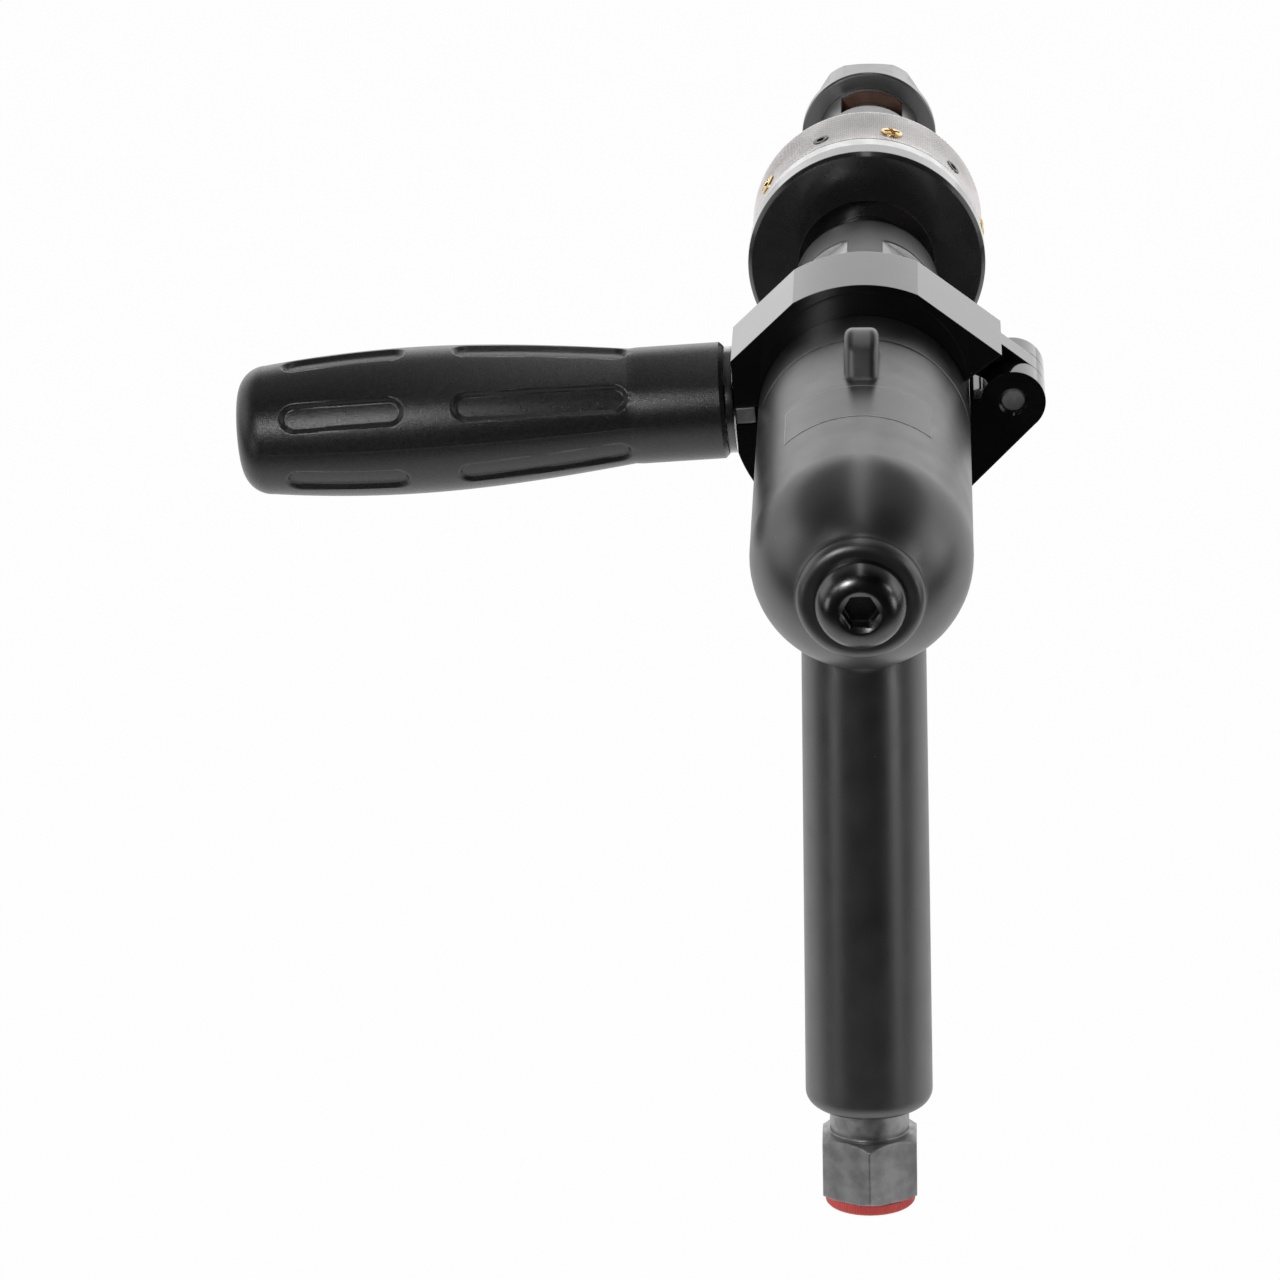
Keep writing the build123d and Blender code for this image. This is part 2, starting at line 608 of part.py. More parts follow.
# Front housing and spindle bearings
def make_front_housing():
    radius = BARREL_DIAMETER / 2
    gear_case = turned(
        (0, HOUSING_LENGTH),
        (radius - SEAM_CHAMFER, HOUSING_LENGTH),
        (radius, HOUSING_LENGTH + SEAM_CHAMFER),
        (radius, NECK_START),
        (0, NECK_START),
    )
    neck = rod(NECK_DIAMETER, NECK_START, NECK_END)
    square = Rot(0, 0, SQUARE_CORNER_UP) * Rectangle(NECK_FLATS, NECK_FLATS)
    flats_end = NECK_END - NECK_COLLAR
    chamfer_run = NECK_COLLAR / 3
    flats = rod(NECK_DIAMETER, NECK_START, flats_end) - slab(square, NECK_START, flats_end)
    runout = turned(
        (NECK_FLATS / 2, flats_end),
        (NECK_DIAMETER / 2, flats_end - chamfer_run),
        (radius, flats_end),
    )
    body = gear_case + (neck - (flats - runout))
    body -= rod(MOTOR_BORE + 2 * SPIGOT_WALL + 2 * FIT, HOUSING_LENGTH, SPIGOT_END)
    body -= rod(RING_GEAR_DIAMETER, SPIGOT_END, RING_GEAR_END)
    body -= rod(2 * PLANET_ORBIT + 2 * CARRIER_MARGIN + 2 * GAP, RING_GEAR_END, REAR_BEARING_START)
    body -= rod(SPINDLE_BEARING_DIAMETER, REAR_BEARING_START, REAR_BEARING_END)
    body -= rod(SPINDLE_BEARING_DIAMETER - 2 * BEARING_SHOULDER, REAR_BEARING_END, FRONT_BEARING_START)
    body -= rod(SPINDLE_BEARING_DIAMETER, FRONT_BEARING_START, NECK_END)
    body = chamfer(body.edges().filter_by(GeomType.CIRCLE).sort_by(Axis.Y)[-1], GAP)
    keep("front_housing", body)


def make_spindle_bearings():
    outside = SPINDLE_BEARING_DIAMETER - 2 * FIT
    running = SPINDLE_DIAMETER + 2 * RUN
    seated = SPINDLE_DIAMETER + 2 * FIT
    ring_outside = seated + 2 * SPACER_WALL
    keep("rear_spindle_bearing", bearing(outside, running, REAR_BEARING_START, REAR_BEARING_END))
    keep("front_spindle_bearing", bearing(outside, running, FRONT_BEARING_START, FRONT_BEARING_END))
    keep("spindle_spacer", tube(ring_outside, seated, REAR_BEARING_END + GAP, FRONT_BEARING_START - GAP))
    groove = SPINDLE_DIAMETER - 2 * RETAINER_DEPTH + 2 * FIT
    ring_start = FRONT_BEARING_END + RUN
    keep("retaining_ring", tube(ring_outside, groove, ring_start, ring_start + RETAINER_WIDTH - 2 * RUN))
    seal_end = NECK_END - SEAL_SETBACK
    keep("shaft_seal", tube(outside, running, seal_end - SEAL_WIDTH, seal_end))


# Tapping chuck
def make_clutch_body():
    hub = CHUCK_HUB_DIAMETER / 2
    sleeve = CHUCK_SLEEVE_DIAMETER / 2
    recess = CHUCK_RECESS_DIAMETER / 2
    rim = CHUCK_DIAMETER / 2
    disc_end = CHUCK_REAR_STATION + CHUCK_DISC
    body = turned(
        (0, CHUCK_HUB_START),
        (hub, CHUCK_HUB_START),
        (hub, CHUCK_WEB_START),
        (recess, CHUCK_WEB_START),
        (recess, CHUCK_REAR_STATION),
        (rim - CHUCK_EDGE, CHUCK_REAR_STATION),
        (rim, CHUCK_REAR_STATION + CHUCK_EDGE),
        (rim, disc_end),
        (sleeve, disc_end),
        (sleeve, CHUCK_SLEEVE_END),
        (CHUCK_SLEEVE_BORE / 2, CHUCK_SLEEVE_END),
        (CHUCK_SLEEVE_BORE / 2, CHUCK_WEB_END),
        (hub, CHUCK_WEB_END),
        (hub, HUB_END),
        (0, HUB_END),
    )
    body -= turned(
        (0, CHUCK_HUB_START),
        (CHUCK_TAPER_LARGE / 2 + FIT, CHUCK_HUB_START),
        (CHUCK_TAPER_SMALL / 2 + FIT, CHUCK_HUB_START + CHUCK_TAPER_LENGTH),
        (CHUCK_TAPER_SMALL / 2 + FIT, HUB_END),
        (0, HUB_END),
    )
    keep("clutch_body", body)


def make_clutch_pack():
    inside = CHUCK_HUB_DIAMETER + 2 * GAP
    outside = CHUCK_SLEEVE_BORE - 2 * FIT
    bore = HOLDER_DIAMETER + 4 * GAP
    keep("rear_friction_disc", tube(outside, inside, CHUCK_WEB_END, CHUCK_WEB_END + FRICTION_DISC))
    keep("front_friction_disc", tube(outside, bore, FRONT_DISC_START, PRESSURE_START))
    keep("pressure_plate", tube(outside, bore, PRESSURE_START, PRESSURE_END))
    low = PRESSURE_END
    washers = []
    for direction in (1, -1):
        inner_edge = low if direction > 0 else low + SPRING_WASHER_RISE
        outer_edge = low + SPRING_WASHER_RISE if direction > 0 else low
        washers.append(
            turned(
                (bore / 2, inner_edge),
                (outside / 2, outer_edge),
                (outside / 2, outer_edge + SPRING_WASHER),
                (bore / 2, inner_edge + SPRING_WASHER),
            )
        )
        low += SPRING_WASHER_RISE + SPRING_WASHER
    keep("clutch_spring_washers", Compound(washers))


def ring_screws(diameter, first_angle, proud):
    outer = RING_DIAMETER / 2 + proud
    shank = Circle(diameter / 2)
    socket = RegularPolygon(SCREW_SOCKET / 2, 6, major_radius=False)
    screw = Pos(0, 0, outer - SCREW_LENGTH) * extrude(shank, SCREW_LENGTH)
    screw -= Pos(0, 0, outer - SCREW_SOCKET_DEPTH) * extrude(socket, SCREW_SOCKET_DEPTH)
    seat = Pos(0, 0, outer - SCREW_LENGTH) * extrude(Circle(diameter / 2 + FIT), SCREW_LENGTH)
    placed = Pos(0, RING_START + SCREW_STATION, 0)
    turn = 90 - first_angle
    screws = around(placed * screw, SCREW_COUNT, turn)
    seats = around(placed * seat, SCREW_COUNT, turn)
    return screws, seats


def make_torque_ring():
    outer = RING_DIAMETER / 2
    thread = CHUCK_SLEEVE_DIAMETER / 2 + RUN
    mouth = HOLDER_DIAMETER / 2 + 2 * GAP
    band_end = RING_START + RING_BAND
    ring = turned(
        (thread, RING_START),
        (outer - CHUCK_EDGE / 2, RING_START),
        (outer, RING_START + CHUCK_EDGE / 2),
        (outer, band_end),
        (outer - RING_GROOVE_DEPTH, band_end),
        (outer - RING_GROOVE_DEPTH, band_end + RING_GROOVE_WIDTH),
        (outer, band_end + RING_GROOVE_WIDTH),
        (outer, RING_END - CHUCK_EDGE),
        (outer - CHUCK_EDGE, RING_END),
        (mouth, RING_END),
        (mouth, RING_WALL_START),
        (thread, RING_WALL_START),
    )
    brass, brass_seats = ring_screws(BRASS_SCREW_DIAMETER, BRASS_SCREW_ANGLE, BRASS_SCREW_PROUD)
    dark, dark_seats = ring_screws(DARK_SCREW_DIAMETER, DARK_SCREW_ANGLE, 0)
    ring -= brass_seats + dark_seats
    keep("torque_ring", ring)
    keep("brass_set_screws", Compound(brass))
    keep("dark_set_screws", Compound(dark))


def window_sketch(clearance):
    opening = Rectangle(WINDOW_WIDTH - 2 * clearance, HOLDER_DIAMETER)
    return Rot(0, 0, -WINDOW_TURN) * Pos(0, (WINDOW_DEPTH + HOLDER_DIAMETER) / 2) * opening


def make_collet_holder():
    outer = HOLDER_DIAMETER / 2
    bore = HOLDER_BORE / 2
    hub_bore = CHUCK_HUB_DIAMETER / 2 + GAP
    flange = CHUCK_SLEEVE_BORE / 2 - GAP
    holder = turned(
        (hub_bore, FLANGE_START),
        (flange, FLANGE_START),
        (flange, FLANGE_END),
        (outer, FLANGE_END),
        (outer, HOLDER_NOSE_START),
        (HOLDER_NOSE_DIAMETER / 2, HOLDER_NOSE_START),
        (HOLDER_NOSE_DIAMETER / 2, HOLDER_END),
        (bore, HOLDER_END),
        (bore, HUB_END + GAP),
        (hub_bore, HUB_END + GAP),
    )
    holder -= slab(window_sketch(0), WINDOW_START, WINDOW_END)
    keep("collet_holder", holder)


def make_tap_jaws():
    seat = HOLDER_BORE / 2 - FIT
    jaw = Circle(seat) & RectangleRounded(JAW_WIDTH, 2 * seat, JAW_ROUNDING)
    jaw -= Rectangle(HOLDER_BORE, JAW_SPLIT)
    jaw -= Rot(0, 0, JAW_SQUARE_TURN) * Rectangle(JAW_SQUARE, JAW_SQUARE)
    keep("tap_jaws", slab(Rot(0, 0, -WINDOW_TURN) * jaw, JAW_END - JAW_LENGTH, JAW_END))


def make_rubber_collet():
    seat = HOLDER_BORE / 2 - FIT
    mouth = NUT_MOUTH_DIAMETER / 2 - FIT
    shoulder = NOSE_STATION - NUT_LIP
    collet = turned(
        (0, COLLET_START),
        (seat, COLLET_START),
        (seat, shoulder - NUT_LIP),
        (mouth, shoulder),
        (mouth, NOSE_STATION),
        (0, NOSE_STATION),
    )
    key = window_sketch(FIT) & Circle(HOLDER_DIAMETER / 2 - COLLET_KEY_DROP)
    collet += slab(key, COLLET_START, WINDOW_END - FIT)
    collet -= rod(COLLET_BORE, COLLET_START, NOSE_STATION)
    keep("rubber_collet", collet)


def make_collet_nut():
    hex_end = NUT_START + NUT_HEX_LENGTH
    turned_radius = NUT_TURNED_DIAMETER / 2
    nose = NUT_NOSE_DIAMETER / 2
    envelope = turned(
        (0, NUT_START),
        (turned_radius, NUT_START),
        (turned_radius, hex_end - NUT_FRONT_CHAMFER),
        (turned_radius - NUT_FRONT_CHAMFER, hex_end),
        (nose + NUT_FRONT_CHAMFER, hex_end),
        (nose, NOSE_STATION),
        (0, NOSE_STATION),
    )
    hexagon = RegularPolygon(NUT_FLATS / 2, 6, major_radius=False)
    nut = envelope & slab(hexagon, NUT_START, NOSE_STATION)
    collar = NUT_COLLAR_DIAMETER / 2
    collar_end = NUT_START + NUT_COLLAR_LENGTH
    nut += turned(
        (0, NUT_START),
        (collar - NUT_REAR_CHAMFER, NUT_START),
        (collar, NUT_START + NUT_REAR_CHAMFER),
        (collar, collar_end - NUT_REAR_CHAMFER),
        (collar - NUT_REAR_CHAMFER, collar_end),
        (0, collar_end),
    )
    lip_start = NOSE_STATION - NUT_LIP
    nut -= turned(
        (0, NUT_START),
        (HOLDER_NOSE_DIAMETER / 2 + RUN, NUT_START),
        (HOLDER_NOSE_DIAMETER / 2 + RUN, HOLDER_END + GAP),
        (HOLDER_BORE / 2 + GAP, HOLDER_END + GAP),
        (HOLDER_BORE / 2 + GAP, lip_start - NUT_LIP),
        (NUT_MOUTH_DIAMETER / 2 + RUN, lip_start),
        (NUT_MOUTH_DIAMETER / 2 + RUN, NOSE_STATION),
        (0, NOSE_STATION),
    )
    keep("collet_nut", nut)


# Side-handle clamp
def clamp_band(sketch, start, end):
    return CLAMP_FRAME * slab(sketch, start, end)


def knuckle_point(degrees):
    slant = math.radians(degrees)
    return (HINGE_X + KNUCKLE_RADIUS * math.cos(slant), HINGE_Z + KNUCKLE_RADIUS * math.sin(slant))


def upper_jaw_sketches():
    bore = Circle(BARREL_DIAMETER / 2 + RUN)
    crown_z = math.sqrt(CLAMP_OUTER_RADIUS**2 - CLAMP_FLANK_X**2)
    split_top = CLAMP_RISE + CLAMP_SPLIT / 2
    leaf_foot = (CLAMP_LEAF_FOOT_X, CLAMP_LEAF_FOOT_Z)
    shoulder = (CLAMP_RIGHT_SHOULDER, CLAMP_RIGHT_HEIGHT)
    outline = [
        ThreePointArc((-CLAMP_FLANK_X, crown_z), (0, CLAMP_OUTER_RADIUS), (CLAMP_FLANK_X, crown_z)),
        Polyline(
            (CLAMP_FLANK_X, crown_z),
            shoulder,
            leaf_foot,
            (0, CLAMP_LEAF_FOOT_Z),
            (0, split_top),
            (-CLAMP_END, split_top),
            (-CLAMP_END, CLAMP_LEFT_HEIGHT),
            (-CLAMP_FLANK_X, crown_z),
        ),
    ]
    leaf = make_face(outline) - bore
    knuckle = Pos(HINGE_X, HINGE_Z) * Circle(KNUCKLE_RADIUS)
    knuckle_top = knuckle_point(KNUCKLE_UPPER_SLANT)
    hinge = (HINGE_X, HINGE_Z)
    arm = make_face(Polyline(leaf_foot, (CLAMP_FLANK_X, crown_z), knuckle_top, hinge, close=True))
    middle = leaf + arm + knuckle - bore
    return leaf, middle


def lower_jaw_sketches():
    bore = Circle(BARREL_DIAMETER / 2 + RUN)
    corner = (Align.MIN, Align.MAX)
    place = Pos(-CLAMP_END, CLAMP_RISE - CLAMP_SPLIT / 2)
    window = place * Rectangle(CLAMP_END + CLAMP_LOWER_RADIUS, CLAMP_LOWER_RADIUS + CLAMP_SPLIT, align=corner)
    block_reach = CLAMP_END - BARREL_DIAMETER / 2 + CLAMP_BLEND
    block = place * Rectangle(block_reach, CLAMP_SPLIT, align=corner)
    shell = (Circle(CLAMP_LOWER_RADIUS) & window) + block
    slant = math.radians(KNUCKLE_LOWER_SLANT)
    arm = make_face(
        Polyline(
            (HINGE_X, HINGE_Z),
            knuckle_point(KNUCKLE_LOWER_SLANT),
            (CLAMP_LOWER_RADIUS * math.cos(slant), CLAMP_LOWER_RADIUS * math.sin(slant)),
            (BARREL_DIAMETER / 2, CLAMP_EAR_FOOT),
            (BARREL_DIAMETER / 2 + CLAMP_EAR_STEP, CLAMP_EAR_FOOT + CLAMP_EAR_RISE),
            close=True,
        )
    )
    knuckle = Pos(HINGE_X, HINGE_Z) * Circle(KNUCKLE_RADIUS)
    room = Pos(HINGE_X, HINGE_Z) * Circle(KNUCKLE_RADIUS + GAP)
    outer = shell + arm + knuckle - bore
    middle = shell + arm - bore - room
    return outer, middle


def stud_pocket(room):
    depth = STUD_BAR_DEPTH + 2 * room
    box = Box(depth, STUD_BAR_WIDTH + 2 * room, STUD_BAR_THICKNESS + 2 * room)
    return HANDLE_FRAME * Pos(-BARREL_DIAMETER / 2 - 2 * GAP - STUD_BAR_DEPTH / 2, 0, 0) * box


def clamp_rod(diameter, near, far):
    shaft = extrude(Circle(diameter / 2), far - near)
    return HANDLE_FRAME * Pos(-far, 0, 0) * Rot(0, 90, 0) * shaft


def pin_countersink(station, turn):
    radius = HINGE_PIN_DIAMETER / 2
    from_base = (Align.CENTER, Align.CENTER, Align.MIN)
    cone = Cone(radius + HINGE_COUNTERSINK, radius, HINGE_COUNTERSINK, align=from_base)
    return CLAMP_FRAME * Pos(HINGE_X, station, HINGE_Z) * Rot(turn, 0, 0) * cone


def make_clamp():
    middle_start = CLAMP_MIDDLE - KNUCKLE_MIDDLE / 2
    middle_end = CLAMP_MIDDLE + KNUCKLE_MIDDLE / 2
    leaf, middle = upper_jaw_sketches()
    upper = clamp_band(leaf, CLAMP_STATION, CLAMP_END_STATION)
    upper += clamp_band(middle, middle_start, middle_end)
    outer, inner = lower_jaw_sketches()
    lower = clamp_band(outer, CLAMP_STATION, middle_start - GAP)
    lower += clamp_band(inner, middle_start - GAP, middle_end + GAP)
    lower += clamp_band(outer, middle_end + GAP, CLAMP_END_STATION)
    pin_circle = Pos(HINGE_X, HINGE_Z) * Circle(HINGE_PIN_DIAMETER / 2)
    pin_hole = Pos(HINGE_X, HINGE_Z) * Circle(HINGE_PIN_DIAMETER / 2 + RUN)
    upper -= clamp_band(pin_circle, CLAMP_STATION, CLAMP_END_STATION)
    lower -= clamp_band(pin_hole, CLAMP_STATION, CLAMP_END_STATION)
    lower -= pin_countersink(CLAMP_STATION, -90) + pin_countersink(CLAMP_END_STATION, 90)
    shank_hole = clamp_rod(STUD_DIAMETER + 4 * GAP, BARREL_DIAMETER / 2, CLAMP_END + GAP)
    upper -= stud_pocket(GAP) + shank_hole
    lower -= stud_pocket(GAP) + shank_hole
    keep("clamp_upper_jaw", upper)
    keep("clamp_lower_jaw", lower)
    pin_start = CLAMP_STATION + HINGE_PIN_RECESS
    keep("clamp_hinge_pin", clamp_band(pin_circle, pin_start, CLAMP_END_STATION - HINGE_PIN_RECESS))
    plate_reach = CLAMP_END - BARREL_DIAMETER / 2 - 2 * GAP
    plate = Box(plate_reach, CLAMP_WIDTH - 2 * GAP, CLAMP_SPLIT - 2 * GAP)
    stud = HANDLE_FRAME * Pos(-CLAMP_END + plate_reach / 2, 0, 0) * plate
    stud += stud_pocket(0)
    stud += clamp_rod(STUD_DIAMETER, CLAMP_END - GAP, HANDLE_START + STUD_REACH)
    keep("clamp_stud", stud)
    cup = clamp_rod(CUP_DIAMETER, CLAMP_END + GAP, CLAMP_END + GAP + CUP_WIDTH)
    keep("clamp_cup", cup - clamp_rod(STUD_DIAMETER + 2 * RUN, CLAMP_END, CLAMP_END + GAP + CUP_WIDTH))


# Side handle, drawn along its own axis and then laid to the left of the clamp
def handle_form(inset):
    collar = HANDLE_COLLAR_DIAMETER / 2 - inset
    waist = HANDLE_WAIST_DIAMETER / 2 - inset
    swell = HANDLE_SWELL_DIAMETER / 2 - inset
    end = HANDLE_END_DIAMETER / 2 - inset
    edge = HANDLE_COLLAR_EDGE
    waist_at = HANDLE_COLLAR_LENGTH + HANDLE_STEP
    swell_at = HANDLE_LENGTH - HANDLE_SWELL_FROM_END
    end_at = HANDLE_LENGTH - HANDLE_END_ROUND
    slopes = [(1, HANDLE_WAIST_SLOPE), (1, HANDLE_END_SLOPE)]
    outline = [
        Polyline((HANDLE_LENGTH, 0), (0, 0), (0, collar - edge), (edge, collar)),
        Polyline((edge, collar), (HANDLE_COLLAR_LENGTH, collar), (waist_at, waist)),
        Spline((waist_at, waist), (swell_at, swell), (end_at, end), tangents=slopes),
        RadiusArc((end_at, end), (HANDLE_LENGTH, end - HANDLE_END_ROUND), HANDLE_END_ROUND),
        Line((HANDLE_LENGTH, end - HANDLE_END_ROUND), (HANDLE_LENGTH, 0)),
    ]
    return revolve(make_face(outline), Axis.X)


def handle_flutes():
    core = handle_form(FLUTE_DEPTH)
    flutes = []
    outer = (OUTER_FLUTE_LENGTH, OUTER_FLUTE_FROM_END)
    inner = (INNER_FLUTE_LENGTH, INNER_FLUTE_FROM_END)
    for length, from_end in (outer, inner):
        slot = Pos(HANDLE_LENGTH - from_end, 0) * SlotOverall(length, FLUTE_WIDTH)
        block = extrude(slot, HANDLE_SWELL_DIAMETER) - core
        flutes += [Rot(360 * index / FLUTE_COUNT, 0, 0) * block for index in range(FLUTE_COUNT)]
    return flutes


def make_side_handle():
    along_x = Rot(0, 90, 0)
    grip = handle_form(0) - handle_flutes()
    grip -= along_x * extrude(Circle(HANDLE_INSERT_DIAMETER / 2), HANDLE_INSERT_LENGTH)
    insert = extrude(Circle(HANDLE_INSERT_DIAMETER / 2 - FIT), HANDLE_INSERT_LENGTH)
    insert -= extrude(Circle(STUD_DIAMETER / 2 + RUN), HANDLE_INSERT_LENGTH)
    place = HANDLE_FRAME * Pos(-HANDLE_START, 0, 0) * Rot(0, 0, 180)
    keep("side_handle_grip", place * grip)
    keep("side_handle_insert", place * along_x * insert)


# Triggers, one for each direction of turning
def trigger_button(rear, height):
    top = height + TRIGGER_HEIGHT / 2
    bottom = height - TRIGGER_HEIGHT / 2
    front = rear + TRIGGER_DEPTH
    outline = [
        Polyline((front, bottom), (rear, bottom), (rear, top), (front, top)),
        ThreePointArc((front, top), (front - TRIGGER_HOLLOW, height), (front, bottom)),
    ]
    block = extrude(Plane.YZ * make_face(outline), TRIGGER_WIDTH / 2, both=True)
    return fillet(block.edges(), TRIGGER_ROUND)


def make_triggers():
    plunger_rear = GRIP_TOP_DIAMETER / 2 - PLUNGER_INSERTION
    guide_front = plunger_rear - TRIGGER_TRAVEL - GAP
    guide_rear = guide_front - VALVE_GUIDE_LENGTH
    head_front = guide_rear - GAP
    head_rear = head_front - VALVE_HEAD_LENGTH
    for name, height in zip(("forward", "reverse"), trigger_heights()):
        button_rear = grip_front(height - TRIGGER_HEIGHT / 2) + TRIGGER_TRAVEL + GAP
        guide = cross_tube(VALVE_BORE - 2 * FIT, VALVE_STEM + 2 * RUN, guide_rear, guide_front, height)
        keep(f"{name}_valve_guide", GRIP_FRAME * guide)
        stem = cross_tube(VALVE_STEM, 0, head_rear, button_rear, height)
        stem += cross_tube(VALVE_HEAD, 0, head_rear, head_front, height)
        keep(f"{name}_valve_stem", GRIP_FRAME * stem)
        spring = cross_tube(
            SPRING_OUTSIDE, SPRING_OUTSIDE - 2 * SPRING_WALL, valve_bore_rear() + FIT, head_rear - FIT, height
        )
        keep(f"{name}_valve_spring", GRIP_FRAME * spring)
        button = trigger_button(button_rear, height)
        button += cross_tube(VALVE_BORE - 2 * RUN, 0, plunger_rear, button_rear + TRIGGER_ROUND, height)
        button -= cross_tube(VALVE_STEM + 2 * FIT, 0, plunger_rear, button_rear, height)
        keep(f"{name}_trigger", GRIP_FRAME * button)


# Air inlet
def make_inlet():
    bottom = -GRIP_LENGTH
    hex_top = bottom - INLET_NECK_LENGTH
    hex_bottom = hex_top - INLET_HEX_LENGTH
    hexagon = Rot(0, 0, HEX_CORNER_UP) * RegularPolygon(INLET_FLATS / 2, 6, major_radius=False)
    corner = INLET_FLATS / math.sqrt(3)
    profile = make_face(
        Polyline(
            (0, hex_bottom),
            (corner - INLET_BOTTOM_CHAMFER, hex_bottom),
            (corner, hex_bottom + INLET_BOTTOM_CHAMFER_LENGTH),
            (corner, hex_top - INLET_TOP_CHAMFER_LENGTH),
            (corner - INLET_TOP_CHAMFER, hex_top),
            (0, hex_top),
            close=True,
        )
    )
    envelope = revolve(Plane.XZ * profile, Axis.Z)
    nut = Pos(0, 0, hex_bottom) * extrude(hexagon, INLET_HEX_LENGTH) & envelope
    nut += grip_tube(INLET_NECK_DIAMETER, 0, hex_top, bottom)
    nut += grip_tube(INLET_STEM_DIAMETER - 2 * FIT, 0, bottom, bottom + INLET_STEM_LENGTH)
    nut -= grip_tube(INLET_THREAD_DIAMETER, 0, hex_bottom, hex_bottom + INLET_THREAD_LENGTH)
    nut -= grip_tube(INLET_MOUTH_DIAMETER, 0, hex_bottom, hex_bottom + CAP_PLUG_LENGTH + GAP)
    nut -= grip_tube(INLET_AIR_HOLE, 0, hex_bottom, bottom + INLET_STEM_LENGTH)
    keep("inlet_bushing", GRIP_FRAME * nut)
    screen_low = bottom + INLET_STEM_LENGTH
    screen_high = screen_low + STRAINER_LENGTH
    screen_diameter = INLET_STEM_DIAMETER - 2 * FIT
    screen = grip_tube(screen_diameter, 0, screen_low, screen_high)
    screen -= grip_tube(screen_diameter - 2 * STRAINER_WALL, 0, screen_low, screen_high - STRAINER_WALL)
    keep("inlet_strainer", GRIP_FRAME * screen)
    cap = grip_tube(CAP_FLANGE_DIAMETER, 0, hex_bottom - GAP - CAP_FLANGE_LENGTH, hex_bottom - GAP)
    plug = INLET_MOUTH_DIAMETER - 2 * CAP_PLUG_CLEARANCE
    cap += grip_tube(plug, plug - 2 * CAP_PLUG_WALL, hex_bottom - GAP, hex_bottom + CAP_PLUG_LENGTH)
    keep("dust_cap", GRIP_FRAME * cap)


def main():
    make_motor_housing()
    make_plug_screw()
    make_motor()
    make_gears()
    make_front_housing()
    make_spindle_bearings()
    make_clutch_body()
    make_clutch_pack()
    make_torque_ring()
    make_collet_holder()
    make_tap_jaws()
    make_rubber_collet()
    make_collet_nut()
    make_clamp()
    make_side_handle()
    make_triggers()
    make_inlet()
    os.makedirs("parts", exist_ok=True)
    for name, piece in PARTS.items():
        export_step(piece, os.path.join("parts", f"{name}.step"))
    print(len(PARTS), "nodes")


main()
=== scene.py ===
import bmesh
import bpy
import json
import math
from mathutils import Matrix, Vector


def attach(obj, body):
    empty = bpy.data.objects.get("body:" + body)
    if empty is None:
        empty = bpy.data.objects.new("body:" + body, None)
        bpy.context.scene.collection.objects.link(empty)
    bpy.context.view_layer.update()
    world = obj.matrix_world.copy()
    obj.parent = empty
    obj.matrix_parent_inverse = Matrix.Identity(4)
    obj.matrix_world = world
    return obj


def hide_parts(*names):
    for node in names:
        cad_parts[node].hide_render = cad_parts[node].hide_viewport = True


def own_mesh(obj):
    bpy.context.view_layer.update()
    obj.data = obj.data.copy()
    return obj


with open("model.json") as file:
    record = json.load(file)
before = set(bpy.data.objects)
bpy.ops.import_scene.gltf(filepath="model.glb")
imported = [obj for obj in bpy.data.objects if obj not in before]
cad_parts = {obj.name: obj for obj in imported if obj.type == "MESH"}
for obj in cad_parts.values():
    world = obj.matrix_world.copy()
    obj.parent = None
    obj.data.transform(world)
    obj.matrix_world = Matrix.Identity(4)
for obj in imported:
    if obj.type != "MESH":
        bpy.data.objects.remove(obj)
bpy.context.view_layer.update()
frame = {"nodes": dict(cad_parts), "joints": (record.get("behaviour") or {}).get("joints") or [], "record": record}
scene = bpy.context.scene
nodes = frame["nodes"]
MM = 0.001
RIGHT = Vector((1, 0, 0))
TOOL_AXIS = Vector((0, 1, 0))
UP = Vector((0, 0, 1))
SQUARE = ((-1, -1), (1, -1), (1, 1), (-1, 1))

# Camera of the photograph
SENSOR = 36.0
LENS = 159.33
CAMERA_ELEVATION = math.radians(24.5)
CAMERA_AZIMUTH = math.radians(-3.202)
CAMERA_ROLL = math.radians(-1.829)
CAMERA_PLACE = Vector((14.99, -1486.971, 517.993)) * MM
CAMERA_NEAR = 0.1
CAMERA_FAR = 20.0

# Floor, dark towards the camera for every ray but the camera's own
FLOOR_SIZE = 12.0
FLOOR_HEIGHT = -0.32
FLOOR_SHADE = 0.9
FLOOR_GLOW = 0.98
FLOOR_DARK_FROM = -0.95
FLOOR_PALE_FROM = -0.45
FLOOR_DARK = 0.02
FLOOR_SPREAD = 0.6

# World light by direction, dim behind the camera and bright beyond the object, with a faint roof
WORLD_BACK = 0.02
WORLD_SIDE = 1.0
WORLD_FAR = 1.6
WORLD_BACK_UNTIL = -0.5
WORLD_SIDE_AT = 0.1
WORLD_SIDE_UNTIL = 0.62
WORLD_FAR_FROM = 0.94
WORLD_BAND_FULL = 0.46
WORLD_BAND_END = 0.56
WORLD_TOP = 0.24
WORLD_TOP_BACK = -0.5
WORLD_TOP_AHEAD = 0.4
WORLD_TOP_FROM = 0.3
WORLD_TOP_FULL = 0.6

# Point that the lamps are aimed at
SUBJECT = Vector((0, -0.25, -0.05))

# Noise shared by the finishes, grain depths in metres
NOISE_DETAIL = 4.0
GRAIN_DETAIL = 2.0
SHADE_LIMITS = (0.35, 0.65)
ROUGH_LIMITS = (0.3, 0.7)
ROUGH_FINENESS = 2.3
FINE_GRAIN = 0.0001
COARSE_GRAIN = 0.0002
BEVEL_SAMPLES = 6

# Pale specks in the paint
SPECK_SCALE = 230.0
SPECK_RADIUS = 0.03
SPECK_RARE = 0.55
SPECK_BLUR = 0.01
SPECK_SHADE = 0.3

